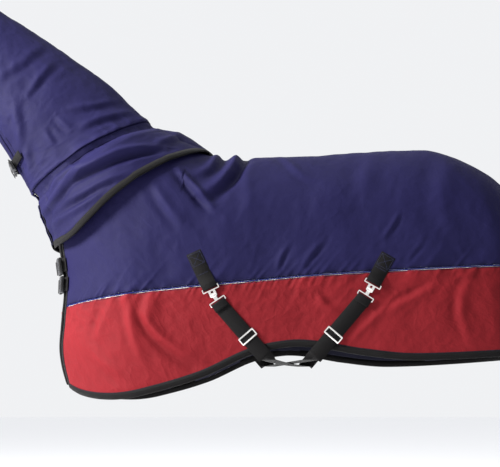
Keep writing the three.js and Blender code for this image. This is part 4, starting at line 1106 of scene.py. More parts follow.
class RUG_OT_bind_body(bpy.types.Operator):
    """Binding round each side, piping along the panel seams and tape down the spine"""
    bl_idname = "rug.bind_body"
    bl_label = "Bind and Pipe"

    def execute(self, context):
        for side, name in SIDES:
            t, q = body_edge_path(side)
            relief, _ = body_relief(side, t, q)
            normals = form_normal(side, t, q)
            edge = form_point(side, t, q) + normals * relief[:, None]
            binding = bound_edge(f"hem_binding_{name}", edge, normals, side, QUILT, True)
            settle(binding, "rug", finish_of("binding_tape"), "binding_tape", f"body_binding_{name}")
            self.pipe_seam(side, name)
        self.tape_spine()
        return {"FINISHED"}

    def pipe_seam(self, side, name):
        t = body_stations(side, 0.006)
        seam = body_edges(t)[2]
        relief, _ = body_relief(side, t, seam)
        normal = form_normal(side, t, seam)
        centre = form_point(side, t, seam) + normal * (relief + QUILT - 0.0016)[:, None]
        turn = np.linspace(0, 2 * math.pi, 11)[:-1]
        down = unit(np.cross(normal, unit(np.gradient(centre, axis=0))))
        rings = centre[:, None] + PIPING_RADIUS * 1.1 * (
            normal[:, None] * np.cos(turn)[None, :, None] + down[:, None] * np.sin(turn)[None, :, None])
        piping = swept_piece(f"piping_{name}", rings, turn * PIPING_RADIUS, walked(centre))
        settle(piping, "rug", finish_of("piping"), "piping", f"seam_piping_{name}")

    def tape_spine(self):
        t = body_stations(NEAR, 0.008)
        t = t[(nominal_x(t) >= NECKLINE_X + 0.02)][1:-3]
        q = np.zeros(len(t))
        relief, _ = body_relief(NEAR, t, q)
        normal = form_normal(NEAR, t, q) * np.array([1, 0, 1])
        normal = unit(normal)
        middle = form_point(NEAR, t, q) * np.array([1, 0, 1])
        middle = middle + normal * (relief + QUILT + 0.0012)[:, None]
        section = [(-0.5, -0.5), (-0.5, 0.3), (-0.42, 0.5), (0.42, 0.5), (0.5, 0.3), (0.5, -0.5)]
        across, up = (np.array(section) * (TAPE_WIDTH, 0.0012)).T
        rings = middle[:, None] + np.array([0, 1, 0]) * across[None, :, None]
        rings = rings + normal[:, None] * up[None, :, None]
        tape = swept_piece("spine_seam_tape", rings, np.linspace(0, 0.05, 6), walked(middle))
        settle(tape, "rug", finish_of("binding_tape"), "binding_tape", "spine_tape")


# ---------------------------------------------------------------- neck cover and cape

NECK_LENGTH = 0.95  # along the crest and throat, from the cape's edge to the head end
BAND_DEPTH, BAND_THICKNESS = 0.006, 0.004  # how far the gathered band sinks between its seams


def neck_layer(name, runs, shares, low, high, folds, puckered, ease=None):
    """Closed layer of the neck cover or cape, between two lifts."""
    s, share = np.meshgrid(runs, shares, indexing="ij")
    angle = neck_angle(share, s)
    place, normal = neck_point(s, angle), neck_normal(s, angle)
    relief, pucker = neck_relief(s, angle, folds, NECK_LENGTH)
    relief = relief if puckered else sunk(relief)
    ends = np.minimum(s - runs[0], runs[-1] - s) * NECK_LENGTH
    calm = smoothstep(0.0, 0.012, ends)
    relief = relief * (ease(s) if ease else 1.0)
    pucker = pucker * lerp(0.25, 1.0, calm)
    base = place + normal * relief[..., None]
    top = high + (pucker if puckered else 0 * pucker)
    uv = np.stack([s * NECK_LENGTH, angle * 0.2], -1)
    # The fold attribute is a painted highlight on ridges and painted shade in hollows.
    piece = cloth_piece(name, base + normal * low, base + normal * top[..., None], uv,
                        {"fold": fold_light_and_shade(relief, pucker)})
    return piece, sheet_area(place)


def half_shares(side, count):
    ends = np.linspace(1e-6, 1, count)
    return ends if side == OFF else -ends[::-1]


def cape_ease(s):
    """Folds of the cape fade towards its bound edge, so that it stays clear of the shoulder."""
    return lerp(0.45, 1.0, smoothstep(0.0, 0.05, s))


class RUG_OT_fit_neck_cover(bpy.types.Operator):
    """Neck cover, its gathered seam and the cape over the shoulders"""
    bl_idname = "rug.fit_neck_cover"
    bl_label = "Fit Neck Cover"

    def execute(self, context):
        spacing = cloth_settings().spacing
        neck_low = SEAM_RUN + TILT_ROOM
        neck_runs = np.linspace(neck_low, 1, int((1 - neck_low) * NECK_LENGTH / spacing))
        cape_runs = np.linspace(0, SEAM_RUN - TILT_ROOM, int(0.24 * NECK_LENGTH / (0.9 * spacing)))
        both = np.concatenate([half_shares(NEAR, 80), half_shares(OFF, 95)])
        outer_low = LINING + GAP + WADDING + GAP

        lining, area = neck_layer("neck_inner_lining", neck_runs[::2], both[::2], 0, LINING,
                                  NECK_FOLDS, False)
        settle(lining, "neck_cover", finish_of("lining"), "lining", "neck_lining")
        fill, area = neck_layer("neck_fill", neck_runs[::2], both[::2], LINING + GAP,
                                LINING + GAP + FILL_SHARE * WADDING, NECK_FOLDS, False)
        settle(fill, "neck_cover", finish_of("wadding"), "wadding", "neck_wadding")
        lining, area = neck_layer("cape_inner_lining", cape_runs[::2], both[::2], 0, CAPE_LINING - 0.002,
                                  CAPE_FOLDS, False, cape_ease)
        settle(lining, "rug", finish_of("lining"), "lining", "cape_lining")

        for side, name in SIDES:
            widest = max(NEAR_TURNS if side == NEAR else OFF_TURNS)
            shares = half_shares(side, int(widest * 0.2 / spacing))
            cloth, area = neck_layer(f"neck_cloth_{name}", neck_runs, shares, outer_low - TURNED_IN, QUILT,
                                     NECK_FOLDS, True)
            settle(cloth, "neck_cover", finish_of("navy_cloth"), "navy_cloth", f"neck_outer_{name}")
            shares = half_shares(side, int(widest * 0.3 / spacing))
            cloth, area = neck_layer(f"cape_cloth_{name}", cape_runs, shares, CAPE_LINING - 0.001, CAPE,
                                     CAPE_FOLDS, True, cape_ease)
            settle(cloth, "rug", finish_of("navy_cloth"), "navy_cloth", f"cape_outer_{name}")
            self.bind_cape(side, name, shares)
        self.gather_band(both)
        self.bind_neck(neck_runs, both)
        return {"FINISHED"}

    def edge_of(self, s, angle, folds, ease=None):
        relief, _ = neck_relief(s, angle, folds, NECK_LENGTH)
        relief = relief * (ease(s) if ease else 1.0)
        normals = neck_normal(s, angle)
        return neck_point(s, angle) + normals * relief[:, None], normals

    def bind_cape(self, side, name, shares):
        rim = shares[::-1] if side == NEAR else shares
        s = np.zeros(len(rim))
        angle = neck_angle(rim, s)
        edge, normals = self.edge_of(s, angle, CAPE_FOLDS, cape_ease)
        binding = bound_edge(f"cape_edge_{name}", edge, normals, side, CAPE, True)
        settle(binding, "rug", finish_of("binding_tape"), "binding_tape", f"cape_binding_{name}")

    def bind_neck(self, runs, shares):
        s = np.concatenate([runs, np.ones(len(shares) - 1), runs[-2::-1]])
        share = np.concatenate([np.full(len(runs), -1.0), shares[1:], np.ones(len(runs) - 1)])
        angle = neck_angle(share, s)
        edge, normals = self.edge_of(s, angle, NECK_FOLDS)
        binding = bound_edge("neck_edge", edge, normals, -1, QUILT, False)
        settle(binding, "neck_cover", finish_of("navy_cloth"), "navy_cloth", "neck_binding")

    def gather_band(self, shares):
        """Slack cloth between cape and neck cover, gathered across its seam."""
        fine = np.interp(np.linspace(0, len(shares) - 1, 3 * len(shares)), np.arange(len(shares)), shares)
        low, high = SEAM_RUN - TILT_ROOM, SEAM_RUN + TILT_ROOM
        s, share = np.meshgrid(np.linspace(low + 0.001, high - 0.001, 16), fine, indexing="ij")
        angle = neck_angle(share, s)
        place, normal = neck_point(s, angle), neck_normal(s, angle)
        share = (s - low) / (high - low)
        cape_side, _ = neck_relief(np.full_like(s, low), angle, CAPE_FOLDS, NECK_LENGTH)
        neck_side, _ = neck_relief(np.full_like(s, high), angle, NECK_FOLDS, NECK_LENGTH)
        relief = lerp(cape_side + CAPE, neck_side + QUILT, smoothstep(0, 1, share))
        hollow = np.sin(math.pi * share) ** 0.8
        gather = ridged(lattice_noise(angle * 9 + s * 6, s * 9, 71)) - 0.5
        relief = relief - BAND_DEPTH * hollow + 0.005 * gather * hollow - 0.0015
        uv = np.stack([s * NECK_LENGTH, angle * 0.2], -1)
        # Painted shade in the band's hollow, with a painted highlight on its gathers, carried in the fold
        # attribute.
        mask = np.clip(0.55 - 0.35 * hollow + 0.4 * gather * hollow, 0, 1)
        high_points = place + normal * relief[..., None]
        low_points = high_points - normal * BAND_THICKNESS
        band = cloth_piece("gathered_seam", low_points, high_points, uv, {"fold": mask})
        band.data.materials.append(finish_of("navy_cloth"))
        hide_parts("gathered_band")
        ring = np.array([neck_point(np.array(run), np.array(a))
                         for run in (low, high) for a in (0.01, math.pi - 0.01)])
        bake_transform(band)


# ---------------------------------------------------------------- tail flap

FLAP_LENGTH = 0.35
FLAP_HALF_WIDTH = 0.15
FLAP_THICKNESS = 0.003
FLAP_SPANS = 5  # between the six places of its spine


def flap_spine():
    """Back of the rug in side view, from the flap's seam down, as smooth X and Z."""
    top = float(TOPLINE(BACK_LENGTH - 0.014)) + QUILT + 2 * GAP + FLAP_THICKNESS
    rear = BACK_LENGTH + BINDING_WIDTH + QUILT + 0.008
    x = (BACK_LENGTH - 0.014, BACK_LENGTH + 0.02, rear - 0.004, rear, rear, rear - 0.003)
    z = (top, top - 0.014, top - 0.044, top - 0.11, top - 0.22, top - FLAP_LENGTH)
    return curve(list(enumerate(x))), curve(list(enumerate(z)))


class RUG_OT_hang_tail_flap(bpy.types.Operator):
    """Tail flap and its binding"""
    bl_idname = "rug.hang_tail_flap"
    bl_label = "Hang Tail Flap"

    def execute(self, context):
        k, across = np.meshgrid(np.linspace(0, FLAP_SPANS, 90), np.linspace(-1, 1, 76), indexing="ij")
        place, normal, relief = self.grid(k, across)
        uv = np.stack([k * (FLAP_LENGTH / FLAP_SPANS), across * FLAP_HALF_WIDTH], -1)
        # The fold attribute is a painted highlight on ridges and painted shade in hollows.
        cloth = cloth_piece("flap_cloth", place, place + normal * FLAP_THICKNESS, uv,
                            {"fold": fold_light_and_shade(relief, 0 * relief)})
        settle(cloth, "flap", finish_of("navy_cloth"), "navy_cloth", "tail_flap")
        down = np.linspace(0, FLAP_SPANS, 60)
        foot = np.linspace(-1, 1, 50)[1:-1]
        k = np.concatenate([down, np.full(len(foot), float(FLAP_SPANS)), down[::-1]])
        across = np.concatenate([np.full(len(down), -1.0), foot, np.full(len(down), 1.0)])
        place, normal, _ = self.grid(k, across)
        binding = bound_edge("flap_edge", place, normal, 1, FLAP_THICKNESS, False)
        settle(binding, "flap", finish_of("binding_tape"), "binding_tape", "tail_flap_binding")
        return {"FINISHED"}

    def grid(self, k, across):
        spine_x, spine_z = flap_spine()
        width = FLAP_HALF_WIDTH * lerp(0.68, 1.0, np.minimum(1, k / 4) ** 0.8)
        step = 0.02
        dx, dz = spine_x(k + step) - spine_x(k - step), spine_z(k + step) - spine_z(k - step)
        normal = unit(np.stack([-dz, 0 * dx, dx], -1))
        free = smoothstep(0.8, 3.5, k)
        wave = 0.004 * free * np.sin(across * 5.2 + 0.6 * np.sin(k))
        relief = wave + 0.0015 * layered_noise(k * 1.6, across * 3, 83, 2)
        bow = 0.010 * across * across
        place = np.stack([spine_x(k), across * width, spine_z(k)], -1)
        return place + normal * (relief - bow)[..., None], normal, relief


# ---------------------------------------------------------------- webbing

WEBBING = 0.0018
BINDING_PROUD = 0.0006
CLOTH_LIFT = QUILT + BINDING_PROUD + WEBBING / 2 + 0.0038
CHEST_WEBBING = 0.048
THROAT_WEBBING = 0.032
SURCINGLE_WEBBING = 0.05
FOLDED_LEG = 0.024
BELLY_DEPTH = HEM_DEPTH + BINDING_WIDTH + 0.034
BELLY_CROSSING = 0.3


def framed(place, along, out):
    """A place and the axes of a frame there: X runs along `along` and Z nearest `out`."""
    x = unit(np.array(along, float))
    z = unit(np.array(out, float) - x * np.dot(out, x))
    return np.array(place, float), np.stack([x, np.cross(z, x), z])


def to_world(frame_of, points):
    return frame_of[0] + np.array(points, float) @ frame_of[1]


def side_place(side, x, z, lift):
    """Place in a side's flat at X and Z, lifted off the outer cloth."""
    t, q = np.array((x + NOSE_START) / (HIP_X + NOSE_START)), np.array(place_of_height(x, z))
    return form_point(side, t, q) + form_normal(side, t, q) * (QUILT + lift)


def eased_path(points, across, radius, spacing=0.004):
    """A path with its corners rounded and its runs cut to spacing, and its width directions."""
    points, across = np.array(points, float), np.array(across, float)
    path, sides = [points[0]], [across[0]]
    for k in range(1, len(points) - 1):
        before, after = points[k - 1] - points[k], points[k + 1] - points[k]
        start = points[k] + before * min(0.48, radius / np.linalg.norm(before))
        end = points[k] + after * min(0.48, radius / np.linalg.norm(after))
        for share in np.linspace(0, 1, 7):
            path.append(lerp(lerp(start, points[k], share), lerp(points[k], end, share), share))
            sides.append(across[k])
    path.append(points[-1])
    sides.append(across[-1])
    path, sides = np.array(path), np.array(sides)
    fine = [0.0]
    for k, gap in enumerate(np.linalg.norm(np.diff(path, axis=0), axis=1)):
        fine.extend(k + np.linspace(0, 1, max(1, int(gap / spacing)) + 1)[1:])
    index = np.arange(len(path))
    mix = lambda values: np.stack([np.interp(fine, index, values[:, c]) for c in range(3)], -1)
    return mix(path), unit(mix(sides))


def ribbon(name, points, across, width, radius=0.004):
    """Webbing along a path, with rounded folds and selvedges. Returns the piece and its length."""
    path, sides = eased_path(points, across, radius)
    normals = unit(np.cross(sides, unit(np.gradient(path, axis=0))))
    half, thin, lip = width / 2, WEBBING / 2, 0.0007
    section = [(-half, -0.3 * thin), (-half, 0.3 * thin), (lip - half, thin), (0, thin), (half - lip, thin),
               (half, 0.3 * thin), (half, -0.3 * thin), (half - lip, -thin), (0, -thin), (lip - half, -thin)]
    section = np.array(section)
    rings = path[:, None] + sides[:, None] * section[None, :, :1] + normals[:, None] * section[None, :, 1:]
    around = np.concatenate([[0], np.cumsum(np.linalg.norm(np.diff(section, axis=0), axis=1))])
    return swept_piece(name, rings, around, walked(path)), float(walked(path)[-1])


def sew_strap(piece, body, node):
    piece.data.materials.append(finish_of("webbing"))
    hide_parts(node)
    if body:
        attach(piece, body)


def stitches(name, rows, body, slot, kind="thread", pitch=0.0042, size=0.0005):
    """Rows of thread, each a path and its normals, as one piece of short raised stitches."""
    points, faces = [], []
    for path, normals in rows:
        run = walked(path)
        starts = np.arange(0.001, run[-1] - pitch, pitch)
        ends = []
        for at in (starts, starts + 0.68 * pitch):
            ends.append(np.stack([np.interp(at, run, path[:, c]) for c in range(3)], -1))
        out = unit(np.stack([np.interp(starts, run, normals[:, c]) for c in range(3)], -1))
        side = unit(np.cross(unit(ends[1] - ends[0]), out))
        for a, b, n, w in zip(*ends, out, side):
            middle = (a + b) / 2 + n * size
            base = len(points)
            points += [a - w * size, a + w * size, b + w * size, b - w * size,
                       middle - w * 0.6 * size, middle + w * 0.6 * size]
            faces += [(base, base + 1, base + 5, base + 4), (base + 4, base + 5, base + 2, base + 3),
                      (base + 1, base + 2, base + 5), (base, base + 4, base + 3),
                      (base, base + 3, base + 2, base + 1)]
    points = np.array(points)
    uvs = [(points[c][0], points[c][2]) for face in faces for c in face]
    piece = new_piece(name, points, faces, uvs)
    fix_normals(piece)
    settle(piece, body, finish_of(kind), slot)


HOOK = {"loop": 0.014, "bar": 0.0045, "plate": 0.0026, "run": 0.036, "lip": 0.005, "stem": 0.007,
        "reach": 0.020, "clear": 0.0004}
STRAP_FOLD = HOOK["plate"] / 2 + GAP + WEBBING / 2
HOOK_LIFT = 0.003 + HOOK["plate"] + GAP + STRAP_FOLD + 0.001
# name, X and depth of the patch's foot, its length, the turns of patch, hook and strap, and the sag
SURCINGLES = (
    ("front", 0.034, 0.508, 0.128, 65, 56, 49, 0.004),
    ("rear", 0.568, 0.492, 0.104, 120, 123, 131, 0.0),
)


def down_the(turn):
    return np.array([math.cos(math.radians(turn)), 0, -math.sin(math.radians(turn))])


def surcingle_frames(x, depth, patch_turn, hook_turn):
    out = (0, -1, 0)
    patch = framed(side_place(NEAR, x, -depth, HOOK_LIFT), down_the(patch_turn), out)
    stud = to_world(patch, (HOOK["run"] - HOOK["lip"] - HOOK["stem"] / 2 - HOOK["clear"], 0, 0))
    return patch, framed(stud, down_the(hook_turn), out)


def strap_start(hook):
    bar = HOOK["reach"] + HOOK["loop"] - HOOK["bar"] / 2
    return to_world(hook, (bar + 0.006, 0, -HOOK["plate"] - GAP - STRAP_FOLD))


def near_run(hook, strap_turn, share):
    """Place on the near side's strap at a share of its way down."""
    start, along = strap_start(hook), down_the(strap_turn)
    run = (BELLY_DEPTH + start[2]) / -along[2]
    x, _, z = start + along * share * (run - 0.014)
    return side_place(NEAR, x, z, lerp(0.003, 0.0056, min(1, 2.5 * share)))


def facing(direction, other):
    return -direction if np.dot(direction, other) < 0 else direction


class RUG_OT_sew_surcingles(bpy.types.Operator):
    """Sewn patches and crossed straps of the surcingles"""
    bl_idname = "rug.sew_surcingles"
    bl_label = "Sew Surcingles"

    def execute(self, context):
        for name, x, depth, length, patch_turn, hook_turn, strap_turn, sag in SURCINGLES:
            patch, hook = surcingle_frames(x, depth, patch_turn, hook_turn)
            self.sew_patch(name, patch, length)
            self.run_strap(name, hook, strap_turn, sag)
        return {"FINISHED"}

    def sew_patch(self, name, patch, length):
        turn = HOOK["bar"] + GAP + WEBBING / 2

        def lying(a, lift):
            x, _, z = to_world(patch, (a, 0, 0))
            return side_place(NEAR, x, z, lift)

        path = [lying(a, 0.0016) for a in np.linspace(-length, -0.045, 8)]
        path += [lying(-0.032, 0.0045)] + [to_world(patch, (a, 0, STRAP_FOLD)) for a in (-0.012, turn)]
        path += [to_world(patch, (a, 0, -STRAP_FOLD)) for a in (turn, -0.012)]
        across = patch[1][1]
        piece, run = ribbon(f"{name}_patch_webbing", path, [across] * len(path), SURCINGLE_WEBBING)
        sew_strap(piece, "rug", f"surcingle_{name}_patch")

        def sewn(corners):
            places, normals = [], []
            for (a0, w0), (a1, w1) in zip(corners, corners[1:]):
                for share in np.linspace(0, 1, 12):
                    a, w = lerp(a0, a1, share), lerp(w0, w1, share)
                    places.append(lying(a, 0.0016 + WEBBING / 2) + across * w)
                    normals.append((0, -1, 0))
            return np.array(places), np.array(normals, float)

        w, low, high = 0.021, 0.005 - length, 0.046 - length
        rows = [sewn([(low, -w), (low, w), (high, w), (high, -w), (low, -w)]),
                sewn([(low, -w), (high, w)]), sewn([(low, w), (high, -w)]), sewn([(-0.05, -w), (-0.05, w)])]
        stitches(f"{name}_patch_stitching", rows, "rug", "webbing")

    def run_strap(self, name, hook, strap_turn, sag):
        bar = HOOK["reach"] + HOOK["loop"] - HOOK["bar"] / 2
        bar_z = -HOOK["plate"] - GAP
        fold = bar - HOOK["bar"] / 2 - GAP - WEBBING / 2
        along = down_the(strap_turn)
        start = strap_start(hook)
        run = (BELLY_DEPTH + start[2]) / -along[2]

        def on_off(length):
            x, _, z = start + along * length
            return side_place(OFF, 2 * BELLY_CROSSING - x, z, 0.004)

        near = [near_run(hook, strap_turn, share) for share in np.linspace(0, 1, 9)]
        off = [on_off(length) for length in (run - 0.014, 0.6 * run, 0.2 * run, -0.04, -0.11)]
        turned = start + along * run
        first = np.array([turned[0], near[-1][1], turned[2]])
        last = np.array([2 * BELLY_CROSSING - turned[0], off[0][1], turned[2]])
        shares = (0.025, 0.2, 0.35, 0.5, 0.65, 0.8, 0.975)
        belly = [lerp(first, last, k) * (1, 1, 0) - (0, 0, BELLY_DEPTH + sag * math.sin(k * math.pi))
                 for k in shares]
        folded = [to_world(hook, p) for p in
                  ((bar + FOLDED_LEG, 0, bar_z + STRAP_FOLD), (fold, 0, bar_z + STRAP_FOLD),
                   (fold, 0, bar_z - STRAP_FOLD))]
        near_across = np.array([along[2], 0, -along[0]])
        hook_across = facing(hook[1][1], near_across)
        crossing = last - first
        belly_across = facing(unit(np.array([-crossing[1], crossing[0], 0])), near_across)
        off_across = facing(np.array([along[2], 0, along[0]]), belly_across)
        across = [hook_across] * 3 + [near_across] * 9 + [belly_across] * 7 + [off_across] * 5
        path = folded + near + belly + off
        piece, length = ribbon(f"{name}_strap_webbing", path, across, SURCINGLE_WEBBING)
        sew_strap(piece, None, f"surcingle_{name}_strap")
        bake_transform(piece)


BUCKLE = {"bar": 0.006, "slot": 0.006, "cap": 0.004, "bar_height": 0.007, "reach": 0.032, "plug": 0.008,
          "thickness": 0.012}
BUCKLE_LIFT = QUILT + BINDING_PROUD + BUCKLE["thickness"] / 2 + 0.0045
PLUG_BAR = -BUCKLE["plug"] - BUCKLE["slot"] - BUCKLE["bar"] / 2
SOCKET_BAR = BUCKLE["reach"] + BUCKLE["cap"] + BUCKLE["slot"] + BUCKLE["bar"] / 2


def chest_place(turn, depth, lift):
    t = np.array(-math.radians(turn))
    q = np.array(place_of_height(nominal_x(t), -depth))
    return form_point(OFF, t, q) + form_normal(OFF, t, q) * lift


def throat_place(turn, s, lift):
    s, angle = np.array(float(s)), np.array(math.radians(turn))
    return neck_point(s, angle) + neck_normal(s, angle) * lift


def closure_frame(place_at, turn, step, where):
    """Frame of a buckle whose X runs from the near side's webbing to the off side's."""
    place = place_at(turn, where, BUCKLE_LIFT)
    along = place_at(turn - step, where, BUCKLE_LIFT) - place_at(turn + step, where, BUCKLE_LIFT)
    along = along * ((1, 1, 0) if place_at is chest_place else (1, 1, 1))
    out = place - place_at(turn, where, 0.0)
    return framed(place - 0.012 * unit(along), along, out)


# name, how places are found, the buckle's turn, its half span, where it is, the turns of both ends, lifts
CLOSURES = (
    ("chest_upper", chest_place, 103, 4, 0.401, (10, 13), (27, 35, 42, 49), (0.0, 0.002)),
    ("chest_lower", chest_place, 103, 4, 0.470, (10, 13), (27, 35, 42, 49), (0.0, 0.002)),
    ("throat_lower", throat_place, 187, 7, THROAT_CLOSURES[0], (29, 32), (37, 48, 57, 65), (0.005, 0.005)),
    ("throat_upper", throat_place, 187, 7, THROAT_CLOSURES[1], (29, 32), (37, 48, 57, 65), (0.005, 0.005)),
)


class RUG_OT_sew_closures(bpy.types.Operator):
    """Webbing ends of the chest and throat buckles"""
    bl_idname = "rug.sew_closures"
    bl_label = "Sew Closures"

    def execute(self, context):
        for name, place_at, turn, step, where, near, off, lifts in CLOSURES:
            at = closure_frame(place_at, turn, step, where)
            body = "rug" if place_at is chest_place else "neck_cover"
            width = CHEST_WEBBING if body == "rug" else THROAT_WEBBING
            near = [place_at(turn + k, where, CLOTH_LIFT + lifts[0]) for k in near]
            off = [place_at(turn - k, where, CLOTH_LIFT + lifts[1]) for k in off]
            self.fold_end(f"{name}_tab_near", at, PLUG_BAR, -1, near, width, body)
            self.fold_end(f"{name}_strap_off", at, SOCKET_BAR, 1, off, width, body)
        return {"FINISHED"}

    def fold_end(self, node, at, bar, away, ends, width, body):
        lift = BUCKLE["bar_height"] / 2 + GAP + WEBBING / 2
        turn = bar - away * (BUCKLE["bar"] / 2 + GAP + WEBBING / 2)
        path = [(bar + away * FOLDED_LEG, 0, lift), (turn, 0, lift), (turn, 0, -lift)]
        path += [((p - at[0]) @ at[1].T) * (1, 0, 1) for p in ends]
        path = [to_world(at, p) for p in path]
        piece, length = ribbon(f"{node}_webbing", path, [at[1][1]] * len(path), width)
        sew_strap(piece, body, node)


# ---------------------------------------------------------------- hard fastenings


def add_block(low, high, corner=0.0):
    """Block between two corners, with its upright edges rounded."""
    low, high = np.array(low, float), np.array(high, float)
    bpy.ops.object.select_all(action="DESELECT")
    bpy.ops.mesh.primitive_cube_add(size=1, location=tuple((low + high) / 2))
    block = bpy.context.object
    block.scale = tuple(high - low)
    bpy.ops.object.transform_apply(location=True, rotation=False, scale=True)
    if corner:
        choose_edges(block, lambda a, b: abs(a.z - b.z) > 1e-6)
        bpy.ops.mesh.bevel(offset=corner, segments=4)
        bpy.ops.object.mode_set(mode="OBJECT")
    return block


def add_rod(start, end, radius):
    """Rod between two places, with rounded ends."""
    start, end = Vector(start), Vector(end)
    turned = (end - start).to_track_quat("Z", "Y").to_euler()
    bpy.ops.object.select_all(action="DESELECT")
    bpy.ops.mesh.primitive_cylinder_add(
        vertices=20, radius=radius, depth=(end - start).length, location=(start + end) / 2, rotation=turned)
    rod = bpy.context.object
    bpy.ops.object.transform_apply(location=True, rotation=True, scale=True)
    axis = (end - start).normalized()
    choose_edges(rod, lambda a, b: abs((a - b).dot(axis)) < 1e-7)
    bpy.ops.mesh.bevel(offset=0.45 * radius, segments=3)
    bpy.ops.object.mode_set(mode="OBJECT")
    return rod


def choose_edges(piece, wanted):
    """Edit mode with only the wanted edges of the piece selected."""
    bpy.ops.object.mode_set(mode="EDIT")
    bpy.ops.mesh.select_mode(type="EDGE")
    bpy.ops.mesh.select_all(action="DESELECT")
    bpy.ops.object.mode_set(mode="OBJECT")
    points = piece.data.vertices
    for edge in piece.data.edges:
        edge.select = wanted(points[edge.vertices[0]].co, points[edge.vertices[1]].co)
    bpy.ops.object.mode_set(mode="EDIT")


def combine(piece, others, operation):
    for other in others:
        modifier = piece.modifiers.new("combine", "BOOLEAN")
        modifier.operation, modifier.object, modifier.solver = operation, other, "EXACT"
        bpy.context.view_layer.objects.active = piece
        bpy.ops.object.modifier_apply(modifier=modifier.name)
        bpy.data.objects.remove(other)
    return piece


def soften(piece, width):
    modifier = piece.modifiers.new("edges", "BEVEL")
    modifier.width, modifier.segments, modifier.limit_method = width, 2, "ANGLE"
    modifier.angle_limit, modifier.harden_normals = math.radians(40), False
    bpy.ops.object.select_all(action="DESELECT")
    piece.select_set(True)
    bpy.context.view_layer.objects.active = piece
    bpy.ops.object.modifier_apply(modifier=modifier.name)
    bpy.ops.object.shade_smooth_by_angle(angle=math.radians(35))
    return piece


def set_hard(model, name, at, kind, body, node):
    """A copy of a model with its own mesh, put in its frame."""
    piece = bpy.data.objects.new(name, model.data.copy())
    bpy.context.scene.collection.objects.link(piece)
    turned = np.eye(4)
    turned[:3, :3], turned[:3, 3] = at[1].T, at[0]
    piece.data.transform(Matrix(turned.tolist()))
    settle(piece, body, finish_of(kind), kind, node)


def model_socket(half):
    reach, cap, bar_height = BUCKLE["reach"], BUCKLE["cap"], BUCKLE["bar_height"] / 2
    top, rail, wall = BUCKLE["thickness"] / 2, 0.005, 0.0026
    end = SOCKET_BAR + BUCKLE["bar"] / 2
    body = add_block((0, -half, -top), (reach + cap, half, top), 0.005)
    body = combine(body, [add_block((reach, -half, -bar_height), (end, half, bar_height), 0.0025)], "UNION")
    side = half - rail
    cuts = [
        add_block((-0.001, -side, wall - top), (reach, side, top - wall)),
        add_block((0.011, -half - 0.001, wall - top), (0.027, half + 0.001, top - wall)),
        add_block((reach + cap, -side, -bar_height - 0.001), (end - BUCKLE["bar"], side, bar_height + 0.001)),
        add_block((0.004, -side, top - 0.0007), (0.030, side, top + 0.001), 0.004),
    ]
    body = combine(body, cuts, "DIFFERENCE")
    ribs = [add_block((x, -0.6 * side, top - 0.001), (x + 0.0014, 0.6 * side, top - 0.0001))
            for x in (0.010, 0.0145, 0.019)]
    return soften(combine(body, ribs, "UNION"), 0.0005)


def model_plug(half):
    reach, bar_height, top = BUCKLE["reach"], BUCKLE["bar_height"] / 2, BUCKLE["thickness"] / 2
    start, side = PLUG_BAR - BUCKLE["bar"] / 2, half - 0.005
    body = add_block((-0.008, -half, -top), (-0.002, half, top), 0.0015)
    parts = [
        add_block((start, -half, -bar_height), (-0.004, half, bar_height), 0.0025),
        add_block((-0.003, -0.004, -0.0024), (reach - 0.004, 0.004, 0.0024), 0.0015),
    ]
    body = combine(body, parts, "UNION")
    slot_start = start + BUCKLE["bar"]
    slot = add_block((slot_start, -side, -top), (slot_start + BUCKLE["slot"], side, top))
    grips = [add_block((-0.0085, y - 0.001, top - 0.0008), (-0.0015, y + 0.001, top + 0.001))
             for y in np.linspace(-0.7 * half, 0.7 * half, 7)]
    return soften(combine(body, [slot, *grips], "DIFFERENCE"), 0.0004)


def model_plate():
    thick, bar, loop = HOOK["plate"] / 2, HOOK["bar"], HOOK["loop"]
    half, run, lip = SURCINGLE_WEBBING / 2 + 0.0008, HOOK["run"], HOOK["lip"]
    stem = HOOK["stem"] / 2 + HOOK["clear"]
    body = add_block((0, -half - 0.0032, -thick), (loop, half + 0.0032, thick), 0.003)
    body = combine(body, [add_block((loop - 0.004, -0.012, -thick), (run, 0.012, thick), 0.005)], "UNION")
    slots = [add_block((bar, -half, -2 * thick), (loop - bar + 0.001, half, 2 * thick)),
             add_block((run - lip - 0.016, -stem, -2 * thick), (run - lip, stem, 2 * thick), 0.002)]
    return soften(combine(body, slots, "DIFFERENCE"), 0.0009)


def model_hook():
    thick, reach, loop, bar = HOOK["plate"], HOOK["reach"], HOOK["loop"], HOOK["bar"]
    half, top = SURCINGLE_WEBBING / 2 + 0.0008, -HOOK["plate"] / 2 - GAP
    body = add_block((reach, -half - 0.0032, top - thick), (reach + loop, half + 0.0032, top), 0.003)
    blade = add_block((-0.005, -0.006, top - thick), (reach + 0.004, 0.006, top), 0.004)
    body = combine(body, [blade], "UNION")
    slot = add_block((reach + bar - 0.001, -half, top - 2 * thick), (reach + loop - bar, half, top + thick))
    body = soften(combine(body, [slot], "DIFFERENCE"), 0.0009)
    face = thick / 2 + GAP
    stud = add_rod((0, 0, top - 0.5 * thick), (0, 0, face + 0.0008), HOOK["stem"] / 2)
    cross = add_rod((0, -0.0095, face + 0.0014), (0, 0.0095, face + 0.0014), 0.0014)
    return combine(body, [stud, cross], "UNION")


def model_slider():
    length, bar, clear = 0.027, 0.005, WEBBING / 2 + 0.0005
    low, high, half = -clear - 0.0022, clear + 0.0022, SURCINGLE_WEBBING / 2 + 0.005
    body = add_block((-length / 2, -half, low), (length / 2, half, high), 0.003)
    inside = half - 0.004
    cuts = [add_block((bar - length / 2, -inside, low - 0.001), (length / 2 - bar, inside, high + 0.001)),
            add_block((-length, -inside, low - 0.001), (length, inside, clear))]
    body = combine(body, cuts, "DIFFERENCE")
    middle = add_block((-bar / 2, -half + 0.001, low), (bar / 2, half - 0.001, -clear))
    return soften(combine(body, [middle], "UNION"), 0.0007)


